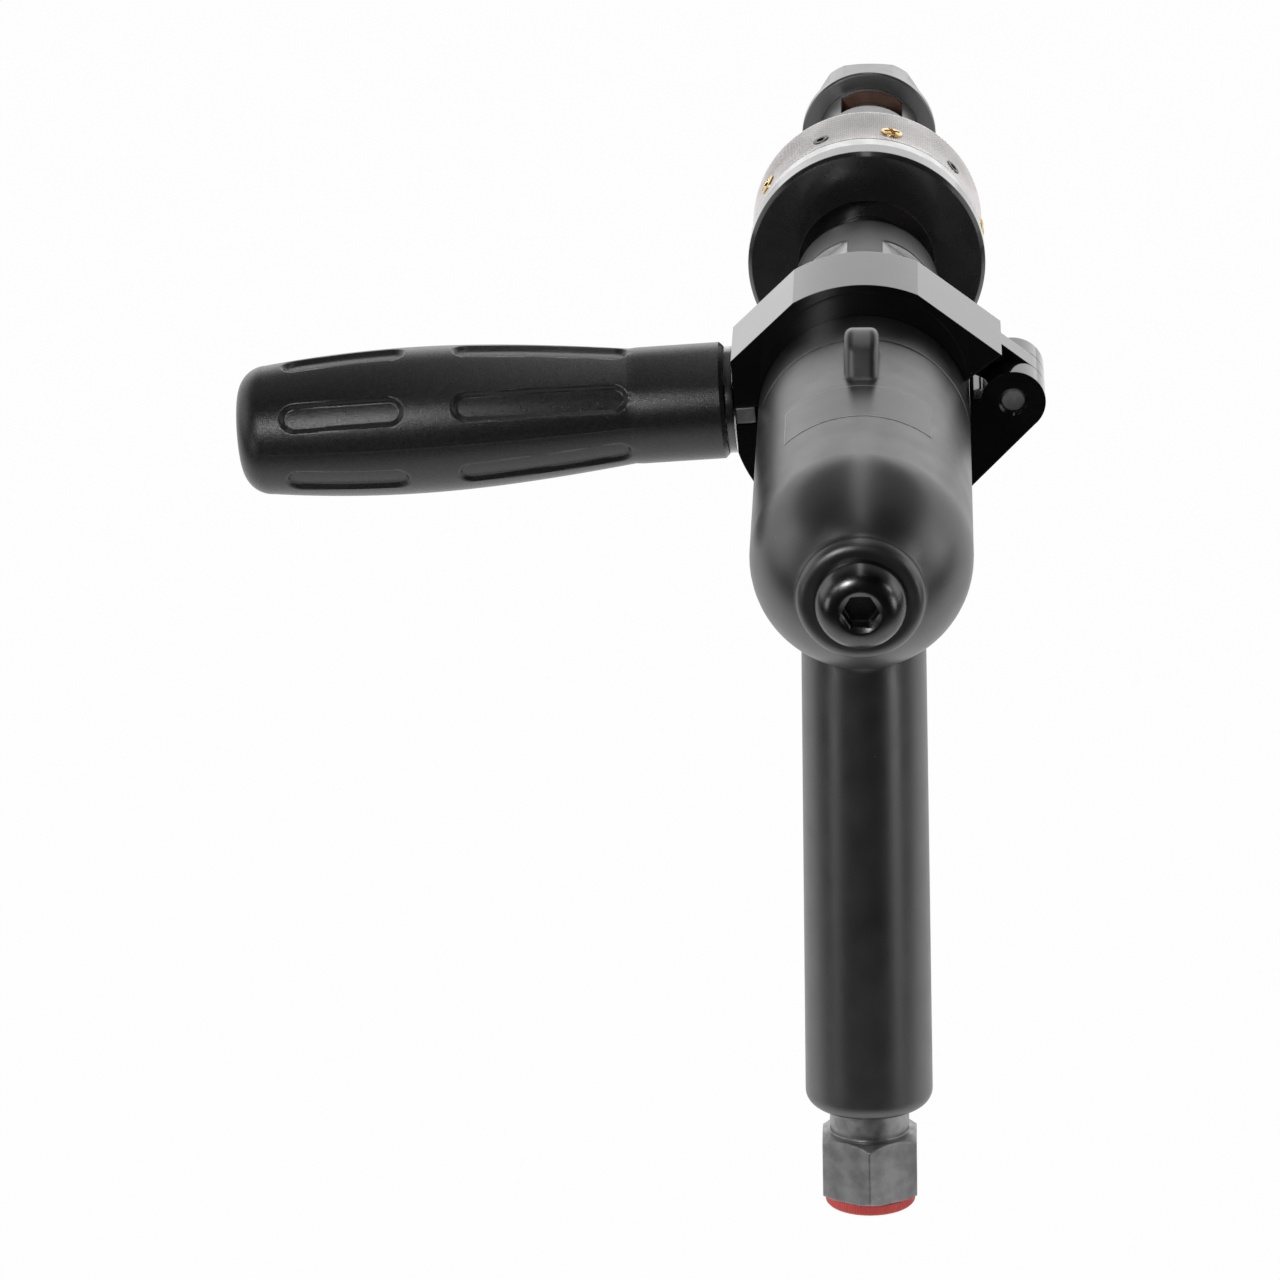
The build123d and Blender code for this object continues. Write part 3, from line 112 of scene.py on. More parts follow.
# Painted shade between the knurls, and a darker painted shade on the plain band of the torque ring that dims its
# reflection
PAINTED_SHADE_BLUR = 0.00005
VALLEY_PAINTED_SHADE = 0.22
BAND_PAINTED_SHADE = 0.6

# Bare milled flats on the neck, painted paler than bare metal as painted light where the clamp and disc shade
# them, distances from the tool's axis and places along it in metres
NECK_FLAT_LOW = 0.0153
NECK_FLAT_HIGH = 0.0184
NECK_FLAT_START = -0.1997
NECK_FLAT_END = -0.148
NECK_FLAT_BLUR = 0.0002
MILLED_SCALE = 900
MILLED_DETAIL = 3.0
MILLED_STRETCH = (1, 0.15, 1)
MILLED_LIMITS = (0.3, 0.7)
MILLED_LIT_SHADES = (0.84, 0.95)

# Sizes of the pieces in millimetres, stations run along the tool from its rear boss
NOSE_STATION = 333.0
SHARP_ANGLE = math.radians(32.0)

# Torque ring
RING_START = 218.8
RING_END = 246.4
RING_RADIUS = 29.9
RING_THREAD_RADIUS = 23.55
RING_MOUTH_RADIUS = 14.4
RING_WALL = 3.5
RING_BAND = 5.5
RING_GROOVE_WIDTH = 1.0
RING_GROOVE_DEPTH = 0.5
RING_REAR_EDGE = 0.5
RING_FRONT_EDGE = 1.0
KNURL_COUNT = 176
KNURL_STEPS = 4
KNURL_PITCH = 1.35
KNURL_DEPTH = 0.32
SEAT_COUNT = 5
SEAT_STATION = 230.8
SEAT_FLOOR_RADIUS = 26.5
SEAT_TOP_RADIUS = 32.0
SEAT_SIDES = 40
BRASS_SEAT_RADIUS = 2.77
BRASS_SEAT_ANGLE = math.radians(13.0)
DARK_SEAT_RADIUS = 2.12
DARK_SEAT_ANGLE = math.radians(-23.0)

# Brass screws in the torque ring, measured from the tool's axis
BRASS_RADIUS = 2.75
BRASS_FOOT = 28.1
BRASS_EDGE = 30.1
BRASS_CROWN = 0.35
BRASS_CROWN_ROWS = 6
CROSS_REACH = 2.1
CROSS_WIDTH = 0.55
CROSS_FLOOR = 29.3
CROSS_TOP = 31.0
CROSS_TURN = math.radians(14.0)

# Side handle, measured from its collar
HANDLE_PIVOT = 26.6
HANDLE_LENGTH = 118.98
HANDLE_BORE_RADIUS = 7.5
HANDLE_BORE_LENGTH = 32.0
HANDLE_COLLAR_RADIUS = 14.15
HANDLE_COLLAR_EDGE = 1.0
HANDLE_COLLAR_LENGTH = 21.0
HANDLE_WAIST = 23.0
HANDLE_WAIST_RADIUS = 14.0
HANDLE_WAIST_SLOPE = 0.12
HANDLE_SWELL = 72.0
HANDLE_SWELL_RADIUS = 17.84
HANDLE_END = 111.98
HANDLE_END_RADIUS = 15.75
HANDLE_END_SLOPE = -0.12
HANDLE_END_ROUND = 7.0
HANDLE_END_STEPS = 14
HANDLE_ROW = 0.36
HANDLE_STEPS = 360
MOULD_LINE = 0.05

# Flutes of the side handle, with the centre and the length of each row of them
FLUTE_COUNT = 6
FLUTE_WIDTH = 7.4
FLUTE_DEPTH = 1.1
FLUTE_WALL = 1.1
END_FLUTES = (92.3, 30.5)
COLLAR_FLUTES = (44.2, 42.5)

# Dust cap, measured up the grip from its lower face
CAP_BELOW_AXIS = 169.7
GRIP_STATION = 48.0
CAP_RADIUS = 10.7
CAP_EDGE = 0.4
CAP_DISH_RADIUS = 8.6
CAP_DISH_DEPTH = 0.4
CAP_FLANGE = 2.7
CAP_PLUG_RADIUS = 6.6
CAP_PLUG_BORE = 5.0
CAP_HEIGHT = 8.0
CAP_RIBS = 96
CAP_RIB_STEPS = 4
CAP_RIB_DEPTH = 0.16

# Valve springs behind the triggers' stems
SPRING_RADIUS = 3.7
SPRING_WIRE_RADIUS = 0.5
SPRING_TURNS = 4
SPRING_TURN_STEPS = 40
SPRING_WIRE_STEPS = 14
SPRING_CLOSED_ENDS = 0.4

# Blank label film on the barrel
LABEL_STATIONS = (47.5, 66.0)
LABEL_ANGLES = (math.radians(-44.0), math.radians(39.4))
LABEL_RADIUS = 25.58
LABEL_BOTTOM_RADIUS = 25.49
LABEL_BORDER = 0.3
LABEL_ROWS = 12
LABEL_STEPS = 72


# Colours
def colour(red, green, blue):
    return (red, green, blue, 1.0)


def grey(level):
    return colour(level, level, level)


def cool_grey(level, blue):
    return colour(level, level, blue)


def greys(levels):
    return [grey(level) for level in levels]


# Shader nodes
def shader_tree(name):
    material = bpy.data.materials.new(name)
    material.use_nodes = True
    return material, material.node_tree, material.node_tree.nodes["Principled BSDF"]


def coordinates(tree, stretch=(1, 1, 1)):
    source = tree.nodes.new("ShaderNodeTexCoord")
    mapping = tree.nodes.new("ShaderNodeMapping")
    mapping.inputs["Scale"].default_value = stretch
    tree.links.new(source.outputs["Object"], mapping.inputs["Vector"])
    return mapping.outputs["Vector"]


def noise(tree, scale, detail=NOISE_DETAIL, stretch=(1, 1, 1)):
    node = tree.nodes.new("ShaderNodeTexNoise")
    node.inputs["Scale"].default_value = scale
    node.inputs["Detail"].default_value = detail
    tree.links.new(coordinates(tree, stretch), node.inputs["Vector"])
    return node.outputs["Fac"]


def ramp(tree, factor, limits, shades):
    node = tree.nodes.new("ShaderNodeValToRGB")
    for element, position, shade in zip(node.color_ramp.elements, limits, shades):
        element.position = position
        element.color = shade
    tree.links.new(factor, node.inputs["Fac"])
    return node.outputs["Color"]


def mixed(tree, factor, first, second):
    node = tree.nodes.new("ShaderNodeMix")
    node.data_type = "RGBA"
    tree.links.new(factor, node.inputs["Factor"])
    sockets = [socket for socket in node.inputs if socket.type == "RGBA"]
    for value, socket in zip((first, second), sockets):
        if isinstance(value, tuple):
            socket.default_value = value
        else:
            tree.links.new(value, socket)
    return [socket for socket in node.outputs if socket.type == "RGBA"][0]


def bump(tree, height, strength, distance, normal=None):
    node = tree.nodes.new("ShaderNodeBump")
    node.inputs["Strength"].default_value = strength
    node.inputs["Distance"].default_value = distance
    tree.links.new(height, node.inputs["Height"])
    if normal:
        tree.links.new(normal, node.inputs["Normal"])
    return node.outputs["Normal"]


def soft_edge(tree, radius):
    node = tree.nodes.new("ShaderNodeBevel")
    node.samples = BEVEL_SAMPLES
    node.inputs["Radius"].default_value = radius
    return node.outputs["Normal"]


def math_node(tree, operation, first, second):
    node = tree.nodes.new("ShaderNodeMath")
    node.operation = operation
    for value, socket in zip((first, second), node.inputs):
        if isinstance(value, float):
            socket.default_value = value
        else:
            tree.links.new(value, socket)
    return node.outputs["Value"]


# Smooth step between two pairs of a value and the level it is given
def between(tree, value, low, high):
    node = tree.nodes.new("ShaderNodeMapRange")
    node.interpolation_type = "SMOOTHSTEP"
    node.inputs["From Min"].default_value = low[0]
    node.inputs["From Max"].default_value = high[0]
    node.inputs["To Min"].default_value = low[1]
    node.inputs["To Max"].default_value = high[1]
    tree.links.new(value, node.inputs["Value"])
    return node.outputs["Result"]


def axes_of(tree, output):
    source = tree.nodes.new("ShaderNodeTexCoord")
    parts = tree.nodes.new("ShaderNodeSeparateXYZ")
    tree.links.new(source.outputs[output], parts.inputs["Vector"])
    return parts.outputs


def axis_distance(tree):
    node = tree.nodes.new("ShaderNodeVectorMath")
    node.operation = "LENGTH"
    tree.links.new(coordinates(tree, (1, 0, 1)), node.inputs["Vector"])
    return node.outputs["Value"]


# Materials
def surface(
    name, shades, shade_scale, rough, grain_scale, grain, grain_depth=FINE_GRAIN, edge=0.0, metallic=0.0
):
    material, tree, shader = shader_tree(name)
    base = ramp(tree, noise(tree, shade_scale), SHADE_LIMITS, shades)
    tree.links.new(base, shader.inputs["Base Color"])
    rough_value = ramp(tree, noise(tree, shade_scale * ROUGH_FINENESS), ROUGH_LIMITS, greys(rough))
    tree.links.new(rough_value, shader.inputs["Roughness"])
    shader.inputs["Metallic"].default_value = metallic
    normal = soft_edge(tree, edge) if edge else None
    normal = bump(tree, noise(tree, grain_scale, GRAIN_DETAIL), grain, grain_depth, normal)
    tree.links.new(normal, shader.inputs["Normal"])
    return material, tree, shader


def lacquer(shader, ior, coat_roughness):
    shader.inputs["IOR"].default_value = ior
    shader.inputs["Coat Weight"].default_value = 1.0
    shader.inputs["Coat Roughness"].default_value = coat_roughness


def paint_over(tree, shader, mask, shade):
    socket = shader.inputs["Base Color"]
    under = socket.links[0].from_socket
    tree.links.new(mixed(tree, mask, under, shade), socket)


def add_specks(tree, shader):
    node = tree.nodes.new("ShaderNodeTexVoronoi")
    node.inputs["Scale"].default_value = SPECK_SCALE
    tree.links.new(coordinates(tree), node.inputs["Vector"])
    dots = between(tree, node.outputs["Distance"], (SPECK_RADIUS / 2, 1.0), (SPECK_RADIUS, 0.0))
    parts = tree.nodes.new("ShaderNodeSeparateColor")
    tree.links.new(node.outputs["Color"], parts.inputs["Color"])
    chosen = between(tree, parts.outputs["Red"], (SPECK_RARE - SPECK_BLUR, 0.0), (SPECK_RARE, 1.0))
    paint_over(tree, shader, math_node(tree, "MULTIPLY", dots, chosen), grey(SPECK_SHADE))


def housing_surface(name):
    material, tree, shader = surface(
        name, shades=(cool_grey(0.008, 0.0083), cool_grey(0.012, 0.0123)), shade_scale=60,
        rough=(0.32, 0.38), grain_scale=2400, grain=0.06, edge=0.0014,
    )
    shader.inputs["IOR"].default_value = 2.05
    add_specks(tree, shader)
    return material, tree, shader


def housing_paint():
    return housing_surface("housing_paint")[0]


def front_housing_paint():
    material, tree, shader = housing_surface("front_housing_paint")
    along = axes_of(tree, "Object")["Y"]
    distance = axis_distance(tree)
    above = between(tree, distance, (NECK_FLAT_LOW - NECK_FLAT_BLUR, 0.0), (NECK_FLAT_LOW, 1.0))
    below = between(tree, distance, (NECK_FLAT_HIGH - NECK_FLAT_BLUR, 1.0), (NECK_FLAT_HIGH, 0.0))
    flat = math_node(tree, "MULTIPLY", above, below)
    behind = between(tree, along, (NECK_FLAT_END - NECK_FLAT_BLUR, 1.0), (NECK_FLAT_END, 0.0))
    ahead = between(tree, along, (NECK_FLAT_START, 0.0), (NECK_FLAT_START + NECK_FLAT_BLUR, 1.0))
    bare = math_node(tree, "MULTIPLY", behind, ahead)
    # Bare milled flats, painted near white: partly their own colour, partly painted light in the shade of the
    # clamp and disc
    marks = noise(tree, MILLED_SCALE, MILLED_DETAIL, MILLED_STRETCH)
    milled_and_lit = ramp(tree, marks, MILLED_LIMITS, greys(MILLED_LIT_SHADES))
    paint_over(tree, shader, math_node(tree, "MULTIPLY", flat, bare), milled_and_lit)
    return material


def clamp_paint():
    material, tree, shader = surface(
        "clamp_paint", shades=(cool_grey(0.004, 0.0043), cool_grey(0.007, 0.0073)), shade_scale=50,
        rough=(0.16, 0.22), grain_scale=500, grain=0.04, grain_depth=COARSE_GRAIN, edge=0.0008,
    )
    lacquer(shader, ior=1.12, coat_roughness=0.06)
    add_specks(tree, shader)
    return material


def black_oxide():
    material, tree, shader = surface(
        "black_oxide", shades=(cool_grey(0.014, 0.0145), cool_grey(0.02, 0.0205)), shade_scale=90,
        rough=(0.24, 0.32), grain_scale=900, grain=0.05, edge=0.0009,
    )
    lacquer(shader, ior=1.5, coat_roughness=0.12)
    add_specks(tree, shader)
    return material


def satin_oxide():
    material, _, shader = surface(
        "satin_oxide", shades=(cool_grey(0.01, 0.0102), cool_grey(0.016, 0.0163)), shade_scale=120,
        rough=(0.34, 0.42), grain_scale=1400, grain=0.06, edge=0.0006,
    )
    lacquer(shader, ior=2.3, coat_roughness=0.3)
    return material


def plug_oxide():
    return surface(
        "plug_oxide", shades=(cool_grey(0.09, 0.092), cool_grey(0.12, 0.122)), shade_scale=200,
        rough=(0.22, 0.28), grain_scale=900, grain=0.03, edge=0.0006, metallic=1.0,
    )[0]


def dark_screw():
    return surface(
        "dark_screw", shades=(cool_grey(0.01, 0.0105), cool_grey(0.02, 0.0205)), shade_scale=400,
        rough=(0.3, 0.4), grain_scale=900, grain=0.05, edge=0.0003,
    )[0]


def dark_steel():
    return surface(
        "dark_steel", shades=(cool_grey(0.24, 0.243), cool_grey(0.38, 0.384)), shade_scale=220,
        rough=(0.34, 0.48), grain_scale=700, grain=0.15, grain_depth=COARSE_GRAIN, edge=0.0007, metallic=1.0,
    )[0]


def steel():
    return surface(
        "steel", shades=(cool_grey(0.45, 0.46), cool_grey(0.58, 0.59)), shade_scale=140,
        rough=(0.25, 0.36), grain_scale=1200, grain=0.06, edge=0.0003, metallic=1.0,
    )[0]


def handle_plastic():
    material, _, shader = surface(
        "handle_plastic", shades=(cool_grey(0.014, 0.0142), cool_grey(0.022, 0.0222)), shade_scale=900,
        rough=(0.26, 0.34), grain_scale=4200, grain=0.5,
    )
    shader.inputs["IOR"].default_value = 1.55
    return material


def silver_surface(name):
    return surface(
        name, shades=(colour(0.84, 0.8, 0.8), colour(0.93, 0.89, 0.89)), shade_scale=120,
        rough=(0.3, 0.42), grain_scale=1500, grain=0.05, edge=0.0002, metallic=1.0,
    )


def silver_plate():
    return silver_surface("silver_plate")[0]


def knurled_silver():
    material, tree, shader = silver_surface("knurled_silver")
    along = axes_of(tree, "Object")["Y"]
    distance = axis_distance(tree)
    outer = RING_RADIUS * MM
    floor = outer - RING_GROOVE_DEPTH * MM
    front = (RING_END - RING_FRONT_EDGE - NOSE_STATION) * MM
    band_end = (RING_START + RING_BAND - NOSE_STATION) * MM
    # Painted shade, darker deeper in the knurls' valleys and the groove
    deep = between(tree, distance, (floor - KNURL_DEPTH * MM, 0.0), (floor - PAINTED_SHADE_BLUR, 1.0))
    sunk = between(tree, distance, (floor, 1.0), (outer - PAINTED_SHADE_BLUR, 0.0))
    behind = between(tree, along, (front - PAINTED_SHADE_BLUR, 1.0), (front, 0.0))
    valley_shade = math_node(tree, "MULTIPLY", math_node(tree, "MULTIPLY", deep, sunk), behind)
    paint_over(tree, shader, valley_shade, grey(VALLEY_PAINTED_SHADE))
    # The plain band gets a painted shade, darker than the same silver, that dims its bright reflection
    plain_band = between(tree, along, (band_end, 1.0), (band_end + PAINTED_SHADE_BLUR, 0.0))
    paint_over(tree, shader, plain_band, grey(BAND_PAINTED_SHADE))
    return material


def brass():
    return surface(
        "brass", shades=(colour(0.72, 0.5, 0.18), colour(0.9, 0.66, 0.3)), shade_scale=300,
        rough=(0.14, 0.26), grain_scale=1500, grain=0.08, edge=0.0003, metallic=1.0,
    )[0]


def rubber():
    return surface(
        "rubber", shades=(colour(0.11, 0.055, 0.035), colour(0.17, 0.09, 0.06)), shade_scale=160,
        rough=(0.5, 0.62), grain_scale=1200, grain=0.1,
    )[0]


def red_plastic():
    return surface(
        "red_plastic", shades=(colour(0.82, 0.09, 0.08), colour(0.92, 0.13, 0.115)), shade_scale=120,
        rough=(0.35, 0.45), grain_scale=1500, grain=0.1, edge=0.0003,
    )[0]


def trigger_plastic():
    return surface(
        "trigger_plastic", shades=(cool_grey(0.012, 0.0125), cool_grey(0.02, 0.0205)), shade_scale=90,
        rough=(0.38, 0.46), grain_scale=1600, grain=0.3, grain_depth=COARSE_GRAIN, edge=0.0005,
    )[0]


def vane_resin():
    return surface(
        "vane_resin", shades=(colour(0.22, 0.14, 0.08), colour(0.34, 0.23, 0.14)), shade_scale=400,
        rough=(0.5, 0.6), grain_scale=900, grain=0.1,
    )[0]


def friction_lining():
    return surface(
        "friction_lining", shades=(colour(0.17, 0.13, 0.1), colour(0.28, 0.23, 0.18)), shade_scale=600,
        rough=(0.6, 0.75), grain_scale=900, grain=0.2,
    )[0]


def grey_iron():
    return surface(
        "grey_iron", shades=(cool_grey(0.25, 0.26), cool_grey(0.34, 0.35)), shade_scale=300,
        rough=(0.4, 0.52), grain_scale=900, grain=0.1, edge=0.0003, metallic=1.0,
    )[0]


def label_film():
    material, _, shader = surface(
        "label_film", shades=(cool_grey(0.02, 0.0205), cool_grey(0.026, 0.0265)), shade_scale=40,
        rough=(0.28, 0.32), grain_scale=1600, grain=0.02,
    )
    shader.inputs["IOR"].default_value = 1.7
    return material


def label_edge():
    return surface(
        "label_edge", shades=(grey(0.3), grey(0.4)), shade_scale=300,
        rough=(0.4, 0.5), grain_scale=1600, grain=0.05,
    )[0]


MATERIALS = (
    housing_paint, clamp_paint, black_oxide, dark_steel, steel, handle_plastic, silver_plate, brass, rubber,
    red_plastic, trigger_plastic, vane_resin, friction_lining, grey_iron,
)


def dress_nodes(finishes):
    own = {
        "front_housing": front_housing_paint(),
        "rear_plug_screw": plug_oxide(),
        "dark_set_screws": dark_screw(),
        "collet_nut": satin_oxide(),
        "clamp_cup": finishes["black_oxide"],
    }
    own["collet_holder"] = own["collet_nut"]
    for part in frame["record"]["subparts"]:
        mesh = nodes[part["node"]].data
        mesh.materials.clear()
        mesh.materials.append(own.get(part["node"], finishes[part["material_slot"]]))


# Camera, light and floor
def add_object(name, data):
    item = bpy.data.objects.new(name, data)
    scene.collection.objects.link(item)
    return item


def place_camera():
    data = bpy.data.cameras.new("photo_camera")
    data.sensor_width = SENSOR
    data.sensor_fit = "HORIZONTAL"
    data.lens = LENS
    data.clip_start = CAMERA_NEAR
    data.clip_end = CAMERA_FAR
    level = math.cos(CAMERA_ELEVATION)
    across = math.sin(CAMERA_AZIMUTH) * level
    away = math.cos(CAMERA_AZIMUTH) * level
    ahead = Vector((across, away, -math.sin(CAMERA_ELEVATION)))
    right = ahead.cross(UP).normalized()
    up = right.cross(ahead)
    side = right * math.cos(CAMERA_ROLL) + up * math.sin(CAMERA_ROLL)
    top = up * math.cos(CAMERA_ROLL) - right * math.sin(CAMERA_ROLL)
    turn = Matrix((side, top, -ahead)).transposed().to_4x4()
    camera = add_object("photo_camera", data)
    camera.matrix_world = Matrix.Translation(CAMERA_PLACE) @ turn
    scene.camera = camera


def lamp(name, direction, distance, size, brightness):
    width, height = size
    data = bpy.data.lights.new(name, "AREA")
    data.shape = "RECTANGLE"
    data.size = width
    data.size_y = height
    data.energy = brightness * math.pi * width * height
    item = add_object(name, data)
    item.location = SUBJECT + distance * Vector(direction)
    item.rotation_euler = (-Vector(direction)).to_track_quat("-Z", "Y").to_euler()
    item.visible_camera = False


def light_studio():
    lamp("left_softbox", direction=(-0.8, -0.59, -0.12), distance=1.2, size=(0.3, 0.36), brightness=2.2)
    lamp("right_softbox", direction=(0.8, -0.59, -0.12), distance=1.2, size=(0.3, 0.36), brightness=3.2)
    lamp("left_side", direction=(-0.99, -0.1, 0.03), distance=1.6, size=(0.8, 1.6), brightness=0.3)
    lamp("right_side", direction=(0.99, -0.1, 0.03), distance=1.6, size=(0.8, 1.6), brightness=0.5)
    lamp("left_spot", direction=(-0.66, -0.68, 0.32), distance=1.2, size=(0.15, 0.15), brightness=5.0)
    lamp("right_spot", direction=(0.79, -0.52, 0.33), distance=1.2, size=(0.17, 0.17), brightness=6.0)
    lamp("handle_lamp", direction=(-0.363, -0.815, 0.46), distance=1.24, size=(0.22, 0.22), brightness=26.0)
    lamp("top_strip", direction=(0.0, 0.2, 0.98), distance=0.95, size=(0.1, 1.9), brightness=2.2)


def light_world():
    world = bpy.data.worlds.new("studio")
    world.use_nodes = True
    tree = world.node_tree
    axes = axes_of(tree, "Generated")
    side = between(tree, axes["Y"], (WORLD_BACK_UNTIL, WORLD_BACK), (WORLD_SIDE_AT, WORLD_SIDE))
    ahead = between(tree, axes["Y"], (WORLD_SIDE_UNTIL, 0.0), (WORLD_FAR_FROM, WORLD_FAR))
    far = math_node(tree, "MAXIMUM", side, ahead)
    band = between(tree, axes["Z"], (WORLD_BAND_FULL, 1.0), (WORLD_BAND_END, 0.0))
    above = between(tree, axes["Z"], (WORLD_TOP_FROM, 0.0), (WORLD_TOP_FULL, WORLD_TOP))
    roof = between(tree, axes["Y"], (WORLD_TOP_BACK, 0.0), (WORLD_TOP_AHEAD, 1.0))
    lower = math_node(tree, "MULTIPLY", far, band)
    level = math_node(tree, "ADD", lower, math_node(tree, "MULTIPLY", above, roof))
    path = tree.nodes.new("ShaderNodeLightPath")
    seen = math_node(tree, "MAXIMUM", level, path.outputs["Is Camera Ray"])
    tree.links.new(seen, tree.nodes["Background"].inputs["Strength"])
    tree.nodes["Background"].inputs["Color"].default_value = grey(1.0)
    scene.world = world


def floor_material():
    material, tree, shader = shader_tree("floor")
    axes = axes_of(tree, "Object")
    aside = math_node(tree, "ABSOLUTE", axes["X"], 0.0)
    reach = math_node(tree, "SUBTRACT", axes["Y"], math_node(tree, "MULTIPLY", aside, FLOOR_SPREAD))
    pale = between(tree, reach, (FLOOR_DARK_FROM, FLOOR_DARK), (FLOOR_PALE_FROM, 1.0))
    path = tree.nodes.new("ShaderNodeLightPath")
    level = math_node(tree, "MAXIMUM", pale, path.outputs["Is Camera Ray"])
    shade = math_node(tree, "MULTIPLY", level, FLOOR_SHADE)
    tree.links.new(shade, shader.inputs["Base Color"])
    shader.inputs["Roughness"].default_value = 1.0
    glow = tree.nodes.new("ShaderNodeEmission")
    tree.links.new(level, glow.inputs["Strength"])
    mirrored = math_node(tree, "MAXIMUM", path.outputs["Is Glossy Ray"], path.outputs["Is Transmission Ray"])
    seen = math_node(tree, "MAXIMUM", path.outputs["Is Camera Ray"], mirrored)
    mix = tree.nodes.new("ShaderNodeMixShader")
    tree.links.new(math_node(tree, "MULTIPLY", seen, FLOOR_GLOW), mix.inputs["Fac"])
    lit, glowing = [socket for socket in mix.inputs if socket.type == "SHADER"]
    tree.links.new(shader.outputs["BSDF"], lit)
    tree.links.new(glow.outputs["Emission"], glowing)
    tree.links.new(mix.outputs["Shader"], tree.nodes["Material Output"].inputs["Surface"])
    return material


def make_floor():
    mesh = bpy.data.meshes.new("floor")
    half = FLOOR_SIZE / 2
    corners = [(x * half, y * half, 0) for x, y in SQUARE]
    mesh.from_pydata(corners, [], [list(range(len(corners)))])
    mesh.materials.append(floor_material())
    floor = add_object("floor", mesh)
    floor.location.z = FLOOR_HEIGHT


# Meshes of the pieces
def build_mesh(name, points, faces):
    mesh = bpy.data.meshes.new(name)
    mesh.from_pydata(points, [], faces)
    form = bmesh.new()
    form.from_mesh(mesh)
    bmesh.ops.recalc_face_normals(form, faces=form.faces[:])
    form.to_mesh(mesh)
    form.free()
    return mesh


def finish_piece(name, points, faces, material, body):
    mesh = build_mesh(name, points, faces)
    mesh.materials.append(material)
    mesh.shade_smooth()
    mesh.set_sharp_from_angle(angle=SHARP_ANGLE)
    piece = add_object(name, mesh)
    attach(piece, body)
    return piece


def axis_frame(origin, axis, up):
    side = axis.cross(up)

    def place(along, radius, angle):
        outward = up * math.cos(angle) + side * math.sin(angle)
        return origin + (axis * along + outward * radius) * MM

    return place


def tool_frame():
    return axis_frame(-TOOL_AXIS * NOSE_STATION * MM, TOOL_AXIS, UP)


def plain(along, radius):
    return (along, radius, False)


def carved(along, radius):
    return (along, radius, True)


# Rows turned about an axis, the carved ones cut by the depth of the relief
def turned(rows, steps, place, relief=None, closed=False):
    points = []
    rings = []
    for along, radius, has_relief in rows:
        count = steps if radius else 1
        rings.append(range(len(points), len(points) + count))
        for step in range(count):
            angle = math.tau * step / steps
            depth = relief(along, radius, angle) if has_relief else 0.0
            points.append(place(along, radius - depth, angle))
    if closed:
        rings.append(rings[0])
    faces = []
    for first, second in zip(rings, rings[1:]):
        for step in range(steps):
            after = (step + 1) % steps
            around = ((first, step), (first, after), (second, after), (second, step))
            corners = [ring[turn % len(ring)] for ring, turn in around]
            faces.append(list(dict.fromkeys(corners)))
    return points, faces


def spread(first, last, spacing):
    count = max(1, round((last - first) / spacing))
    return [first + (last - first) * index / count for index in range(count + 1)]


def zigzag(turns):
    return abs(2 * (turns % 1.0) - 1)


# Torque ring and its brass screws
def knurl_depth(along, radius, angle):
    around = KNURL_COUNT * angle / math.tau
    ahead = (along - RING_START) / KNURL_PITCH
    height = min(zigzag(around + ahead), zigzag(around - ahead))
    return KNURL_DEPTH * (1 - height)


def seat_frames(first_angle):
    frames = []
    centre = TOOL_AXIS * (SEAT_STATION - NOSE_STATION) * MM
    for seat in range(SEAT_COUNT):
        turn = first_angle + math.tau * seat / SEAT_COUNT
        outward = Vector((math.sin(turn), 0, math.cos(turn)))
        frames.append((centre, outward, TOOL_AXIS))
    return frames


def at_seats(rows, first_angle):
    points = []
    faces = []
    for seat in seat_frames(first_angle):
        more_points, more_faces = turned(rows, SEAT_SIDES, axis_frame(*seat))
        faces += [[corner + len(points) for corner in face] for face in more_faces]
        points += more_points
    return points, faces


def seat_cutter(radius, first_angle):
    rows = (
        plain(SEAT_FLOOR_RADIUS, 0),
        plain(SEAT_FLOOR_RADIUS, radius),
        plain(SEAT_TOP_RADIUS, radius),
        plain(SEAT_TOP_RADIUS, 0),
    )
    return add_object("seat_cutter", build_mesh("seat_cutter", *at_seats(rows, first_angle)))


def cross_cutter(quarter):
    points = []
    faces = []
    sides = len(SQUARE)
    for centre, outward, ahead in seat_frames(BRASS_SEAT_ANGLE):
        turn = CROSS_TURN + quarter
        side = outward.cross(ahead)
        wing = ahead * math.cos(turn) + side * math.sin(turn)
        across = outward.cross(wing)
        low = [len(points) + index for index in range(sides)]
        high = [corner + sides for corner in low]
        for height in (CROSS_FLOOR, CROSS_TOP):
            for reach, width in SQUARE:
                shift = outward * height + wing * reach * CROSS_REACH + across * width * CROSS_WIDTH
                points.append(centre + shift * MM)
        faces += [low, high]
        for index in range(sides):
            after = (index + 1) % sides
            faces.append([low[index], low[after], high[after], high[index]])
    return add_object("cross_cutter", build_mesh("cross_cutter", points, faces))


def cut_seats(piece, cutters):
    for cutter in cutters:
        modifier = piece.modifiers.new("seats", "BOOLEAN")
        modifier.operation = "DIFFERENCE"
        modifier.solver = "EXACT"
        modifier.object = cutter
    bpy.context.view_layer.update()
    graph = bpy.context.evaluated_depsgraph_get()
    mesh = bpy.data.meshes.new_from_object(piece.evaluated_get(graph), depsgraph=graph)
    piece.modifiers.clear()
    piece.data = mesh
    for cutter in cutters:
        bpy.data.objects.remove(cutter)


